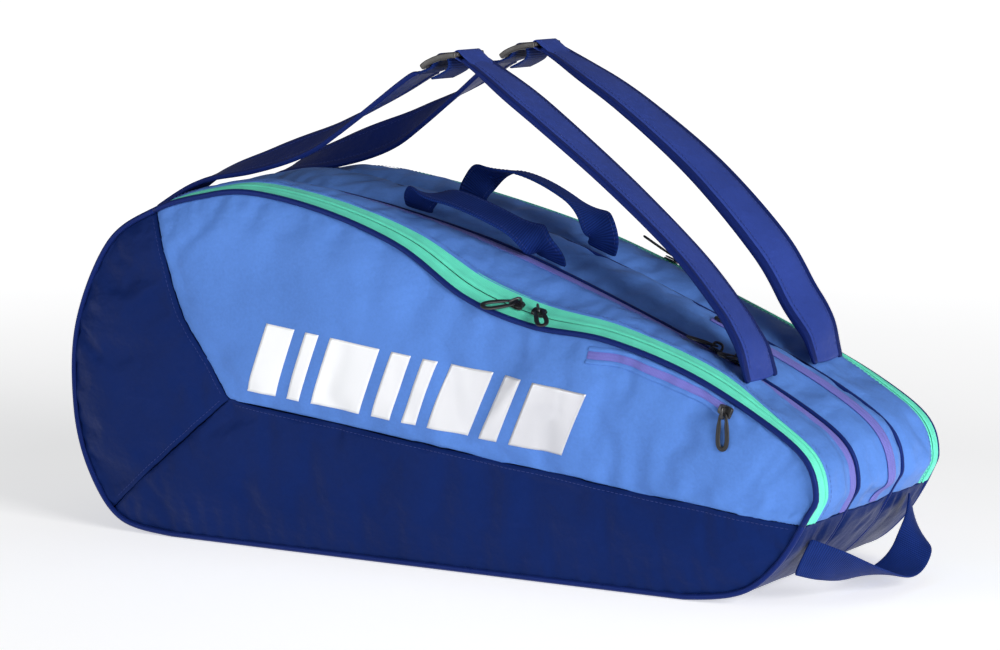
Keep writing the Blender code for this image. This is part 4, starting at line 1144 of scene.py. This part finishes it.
def build_lock(name, side):
    """Ladder lock: two arched side rails and three bars, and the webbing threaded through."""
    place = lock_frame(side)
    parts = []
    for edge in (-1, 1):
        points = even_path([place @ Vector((x, edge * RAIL_Y, z)) for x, z in RAIL_ARCH], 0.002)
        parts.append(strip("rail", points, ACROSS, 0.0048, 0.0052, flat_section(3, 0.55), LOCK))
        soften(parts[-1])
    for x, z, wide, deep in LOCK_BARS:
        ends = [place @ Vector((x, y, z)) for y in np.linspace(-0.0222, 0.0222, 9)]
        parts.append(strip("bar", ends, place.to_3x3().col[0], wide, deep, flat_section(3, 0.55), LOCK))
        soften(parts[-1])
    for k in range(9):  # teeth that grip the webbing
        tooth = [place @ Vector((x, TOOTH_PITCH * (k - 4), z)) for x, z in TOOTH]
        parts.append(tube("tooth", tooth, 0.0008, LOCK, sides=5))
    lock = f"{name}_ladder_lock"
    finish_piece(join(lock, parts), (lock,), body=f"{name}_lock")
    path = even_path([place @ Vector((x, 0.0, z)) for x, z in TAIL_PATH], 0.0018)
    tail = strip(f"{name}_strap_tail", path, ACROSS, WEB_WIDTH, 0.0018, flat_section(6), WEBBING)
    finish_piece(tail, (f"{name}_strap_tail",), body=f"{name}_lock")


# ---------------------------------------------------------------- handles and end loop
HANDLE_X = (-0.052, 0.082)
HANDLE_ARCH = [(0.00, 0.00), (0.00, 0.28), (0.07, 0.68), (0.25, 0.97), (0.47, 1.00), (0.72, 0.84),
               (0.93, 0.55), (1.00, 0.28), (1.00, 0.00)]
HANDLE_WIDTH, HANDLE_THICK, HANDLE_ROW = 0.0305, 0.0026, 0.0118
HANDLE_SHAPE = {-1: (0.034, math.radians(-38.0), math.radians(22.0)),
                1: (0.042, math.radians(-4.0), math.radians(10.0))}  # height, lean, roll


def build_handle(name, side):
    """A carry handle of ribbed webbing, with rows of stitches along it."""
    y = side * DIVIDER_Y
    low, high = (skin_at(place_at_x(x, y), y, DIVIDER_CORD + 0.0028) for x in HANDLE_X)
    height, lean, roll = HANDLE_SHAPE[side]
    seam = (high - low).normalized()
    rise = Vector((-seam.z, 0.0, seam.x)) * math.cos(lean) + Vector((0.0, math.sin(lean), 0.0))
    flat = rise.cross(seam) * math.cos(roll) - rise * math.sin(roll)
    path = even_path([(high - low) * u + rise * height * h + low for u, h in HANDLE_ARCH], 0.0026)
    u = np.linspace(0, 1, len(path))
    turn = math.radians(90) * smoothstep((np.minimum(u, 1 - u) - 0.08) / 0.25)
    sides = np.outer(np.cos(turn), seam) + np.outer(np.sin(turn), flat)
    web = strip(f"{name}_handle", path, sides, HANDLE_WIDTH, HANDLE_THICK, flat_section(7), WEBBING)
    soften(web)
    sides, face = frame_path(path, sides)
    rows = edge_rows(path[3:-3], sides[3:-3], face[3:-3], HANDLE_ROW, HANDLE_THICK / 2)
    finish_piece(web, (f"{name}_handle",), body=f"{name}_handle")
    finish_piece(join(f"{name}_handle_stitches", rows), body=f"{name}_handle")


END_LOOP_WIDTH, END_LOOP_THICK, END_LOOP_TURN = 0.0335, 0.0024, (75, -80)
END_LOOP_PATH = [(0.3585, -0.1100, 0.0440), (0.372, -0.085, 0.0340), (0.382, -0.045, 0.0215),
                 (0.388, 0.000, 0.0150), (0.391, 0.030, 0.0210), (0.388, 0.055, 0.0375),
                 (0.3690, 0.0880, 0.0540)]


def build_end_loop():
    """A loop of webbing across the handle end, with half a twist in it."""
    path = even_path(END_LOOP_PATH, 0.0028)
    turn = np.radians(np.linspace(*END_LOOP_TURN, len(path)))
    sides = points_from(np.cos(turn), 0.0, np.sin(turn))
    loop = strip("end_loop", path, sides, END_LOOP_WIDTH, END_LOOP_THICK, flat_section(7), WEBBING)
    soften(loop)
    finish_piece(loop, ("end_loop",), body="end_loop")


# ---------------------------------------------------------------- zip sliders and pullers
def local_frame(point, along, normal):
    x = along.normalized()
    z = (normal - x * normal.dot(x)).normalized()
    turn = Matrix((x, z.cross(x), z)).transposed().to_4x4()
    return Matrix.Translation(point) @ turn


def rounded_block(place, rows):
    """A closed metal block lofted through rows of (x, half width, z low, z high) in a local frame."""
    ring = ((-1, 0.25), (-0.75, 0), (0.75, 0), (1, 0.25), (1, 0.75), (0.72, 1), (-0.72, 1), (-1, 0.75))
    points = np.array([[place @ Vector((x, a * half, low + (high - low) * b)) for a, b in ring]
                       for x, half, low, high in rows])
    block = solid_grid("block", points, np.linspace(0, 0.01, len(rows)), np.linspace(0, 0.01, 9), METAL)
    soften(block)
    return block


SOLE = [(-0.0066, 0.0030, 0.0, 0.0012), (-0.0058, 0.0044, 0.0, 0.0014), (0.0, 0.0050, 0.0, 0.0014),
        (0.0058, 0.0050, 0.0, 0.0014), (0.0066, 0.0040, 0.0, 0.0012)]
DECK = [(-0.0062, 0.0026, 0.0018, 0.0030), (-0.0052, 0.0040, 0.0016, 0.0032), (0.0, 0.0047, 0.0016, 0.0034),
        (0.0054, 0.0046, 0.0016, 0.0032), (0.0062, 0.0036, 0.0018, 0.0030)]
NECK = [(0.0020, 0.0012, 0.0008, 0.0024), (0.0060, 0.0016, 0.0008, 0.0024)]
CROWN_RADIUS = 0.0012
PULLER_EYE = (0.0030, 0.0, 0.0051)  # where the puller hangs inside the crown
CROWN = [(-0.0042, 0, 0.0024), (-0.0040, 0, 0.0060), (-0.0018, 0, 0.0079), (0.0026, 0, 0.0080),
         (0.0054, 0, 0.0070), (0.0058, 0, 0.0046)]
PULLER_EDGE = [(-0.0006, 0.0), (0.0006, 0.0023), (0.0050, 0.0031), (0.0110, 0.0036), (0.0170, 0.0040),
               (0.0230, 0.0039), (0.0270, 0.0026), (0.0284, 0.0)]


def build_slider(name, place, yaw, droop):
    """A slider with its crown, and a moulded ring as its puller."""
    turned = place @ Matrix.Rotation(math.radians(yaw), 4, "Z")
    crown = even_path([turned @ Vector(p) for p in CROWN], 0.0008)
    body = [*(rounded_block(place, rows) for rows in (SOLE, DECK, NECK)),
            tube("crown", crown, CROWN_RADIUS, METAL, up=tuple(turned.to_3x3().col[1]))]
    finish_piece(join(f"{name}_slider", body), (f"{name}_slider",), body=f"{name}_slider")
    hang = Matrix.Translation(turned @ Vector(PULLER_EYE)) @ turned.to_3x3().to_4x4()
    hang = hang @ Matrix.Rotation(math.radians(droop), 4, "Y")
    ring = PULLER_EDGE + [(x, -y) for x, y in PULLER_EDGE[-2:0:-1]]
    ring = smooth_path([(x, y, 0.0) for x, y in ring[-2:] + ring + ring[:3]], 4)[8:-9]
    bulk = 0.0009 + 0.0004 * smoothstep((ring[:, 0] - 0.003) / 0.007)
    puller = tube(f"{name}_puller", [hang @ Vector(p) for p in ring], bulk, RUBBER, closed=True,
                  squash=1.75, up=tuple(hang.to_3x3().col[2]))
    soften(puller)
    finish_piece(puller, (f"{name}_puller",), body=f"{name}_puller")


SLIDER_LIFT, POCKET_SLIDER = 0.0012, (0.298, 0.1628)
EDGE_SLIDERS = [  # name, x, depth, turn on its zip and droop of its puller
    ("front_zip_1", 0.086, -MAIN_ZIP_Y, 235.0, -14.0), ("front_zip_2", 0.108, -MAIN_ZIP_Y, -50.0, -14.0),
    ("rear_zip_1", 0.118, MAIN_ZIP_Y, 215.0, -10.0), ("rear_zip_2", 0.142, MAIN_ZIP_Y, -35.0, -10.0),
    ("centre_zip_1", 0.248, sum(CENTRE_ZIP) / 2, 235.0, 8.0),
    ("centre_zip_2", 0.266, sum(CENTRE_ZIP) / 2, -95.0, 8.0), ("end_zip", 0.246, 0.0, 180.0, 8.0),
]


def build_sliders():
    for name, x, y, yaw, droop in EDGE_SLIDERS:
        u = place_at_x(x, y)
        along = skin_at(u + 0.15, y) - skin_at(u - 0.15, y)
        across = skin_at(u, y + 0.003) - skin_at(u, y - 0.003)
        normal = across.cross(along)
        if normal.z < 0:
            normal = -normal
        build_slider(name, local_frame(skin_at(u, y, SLIDER_LIFT), along, normal), yaw, droop)
    spot = Vector(panel_points(-1, [POCKET_SLIDER], 0.0026)[0])
    place = local_frame(spot, Vector((0.93, 0.0, -0.36)), Vector((0.0, -1.0, 0.12)))
    build_slider("pocket_zip", place, -69.0, 4.0)


# ---------------------------------------------------------------- floor, light and camera
SKY_LIGHT, SKY_SEEN = 0.13, 0.98  # the sky's strength as a light, and as the camera sees it
LIGHTS = [  # name, place, size, power and colour
    ("key", (3.1, -1.2, 1.05), 1.5, 100.0, (1.0, 0.99, 0.98)),
    ("fill", (-1.7, -2.7, 0.9), 1.6, 29.0, (0.98, 0.99, 1.0)),
    ("top", (0.4, 0.8, 2.8), 1.6, 2.0, (1.0, 1.0, 1.0)),
]
AZIMUTH, ELEVATION, DISTANCE, LENS = math.radians(30.7), math.radians(7.5), 2.903, 116.46
TARGET = (0.0053, 0.0, 0.1994)


def build_stage():
    made = Finish("floor_paper")
    tone = made.colour((0.86, 0.87, 0.88), (0.92, 0.92, 0.93), made.noise(3.0))
    place = made.coordinates("Object", 1.0)
    distance = made.node("VectorMath", {0: place}, operation="LENGTH").outputs["Value"]
    seen = made.node("LightPath").outputs["Is Camera Ray"]
    glow = made.math("MULTIPLY_ADD", seen, made.spread(distance, 0.0, 0.42, 0.7, 3.0), 0.55)
    made.set(Base_Color=tone, Roughness=0.8, Specular_IOR_Level=0.2, Emission_Color=(1, 1, 1, 1),
             Emission_Strength=glow)
    steps = np.linspace(-30.0, 30.0, 25)
    floor = grid("floor", points_from(steps[:, None], steps[None], -0.0005), steps, steps, made.material)
    turn_outwards(floor, (0, 0, 1))
    sky = Finish("studio", "worlds", "Background")
    seen = sky.node("LightPath").outputs["Is Camera Ray"]
    sky.set(Color=(0.97, 0.98, 1.0, 1.0), Strength=sky.spread(seen, SKY_LIGHT, SKY_SEEN, 0, 1))
    bpy.context.scene.world = sky.material
    bpy.context.scene.view_settings.view_transform = "Standard"
    for name, place, size, power, colour in LIGHTS:
        light = bpy.data.lights.new(name, "AREA")
        light.size, light.energy, light.color = size, power, colour
        lamp = add_object(name, light)
        lamp.location = place
        lamp.rotation_euler = (Vector((0.0, 0.0, 0.2)) - Vector(place)).to_track_quat("-Z", "Y").to_euler()


def build_camera():
    data = bpy.data.cameras.new("camera")
    data.sensor_width, data.lens = 36.0, LENS
    data.clip_start, data.clip_end = 0.05, 50.0
    camera = add_object("camera", data)
    level = math.cos(ELEVATION)
    back = Vector((math.sin(AZIMUTH) * level, -math.cos(AZIMUTH) * level, math.sin(ELEVATION)))
    camera.location = Vector(TARGET) + back * DISTANCE
    camera.rotation_euler = (-back).to_track_quat("-Z", "Y").to_euler()
    bpy.context.scene.camera = camera


def build_bag():
    sides = (("front", -1), ("rear", 1))
    for name, side in sides:
        for build in (build_panels, build_seam_stitches, build_side, build_pad, build_tab,
                      build_lower_strap, build_lock, build_handle):
            build(name, side)
    for name, side in sides:
        build_divider(name, side)
    build_centre()
    build_bars()
    build_pocket_zip()
    build_end_loop()
    build_sliders()


build_bag()
build_stage()
build_camera()
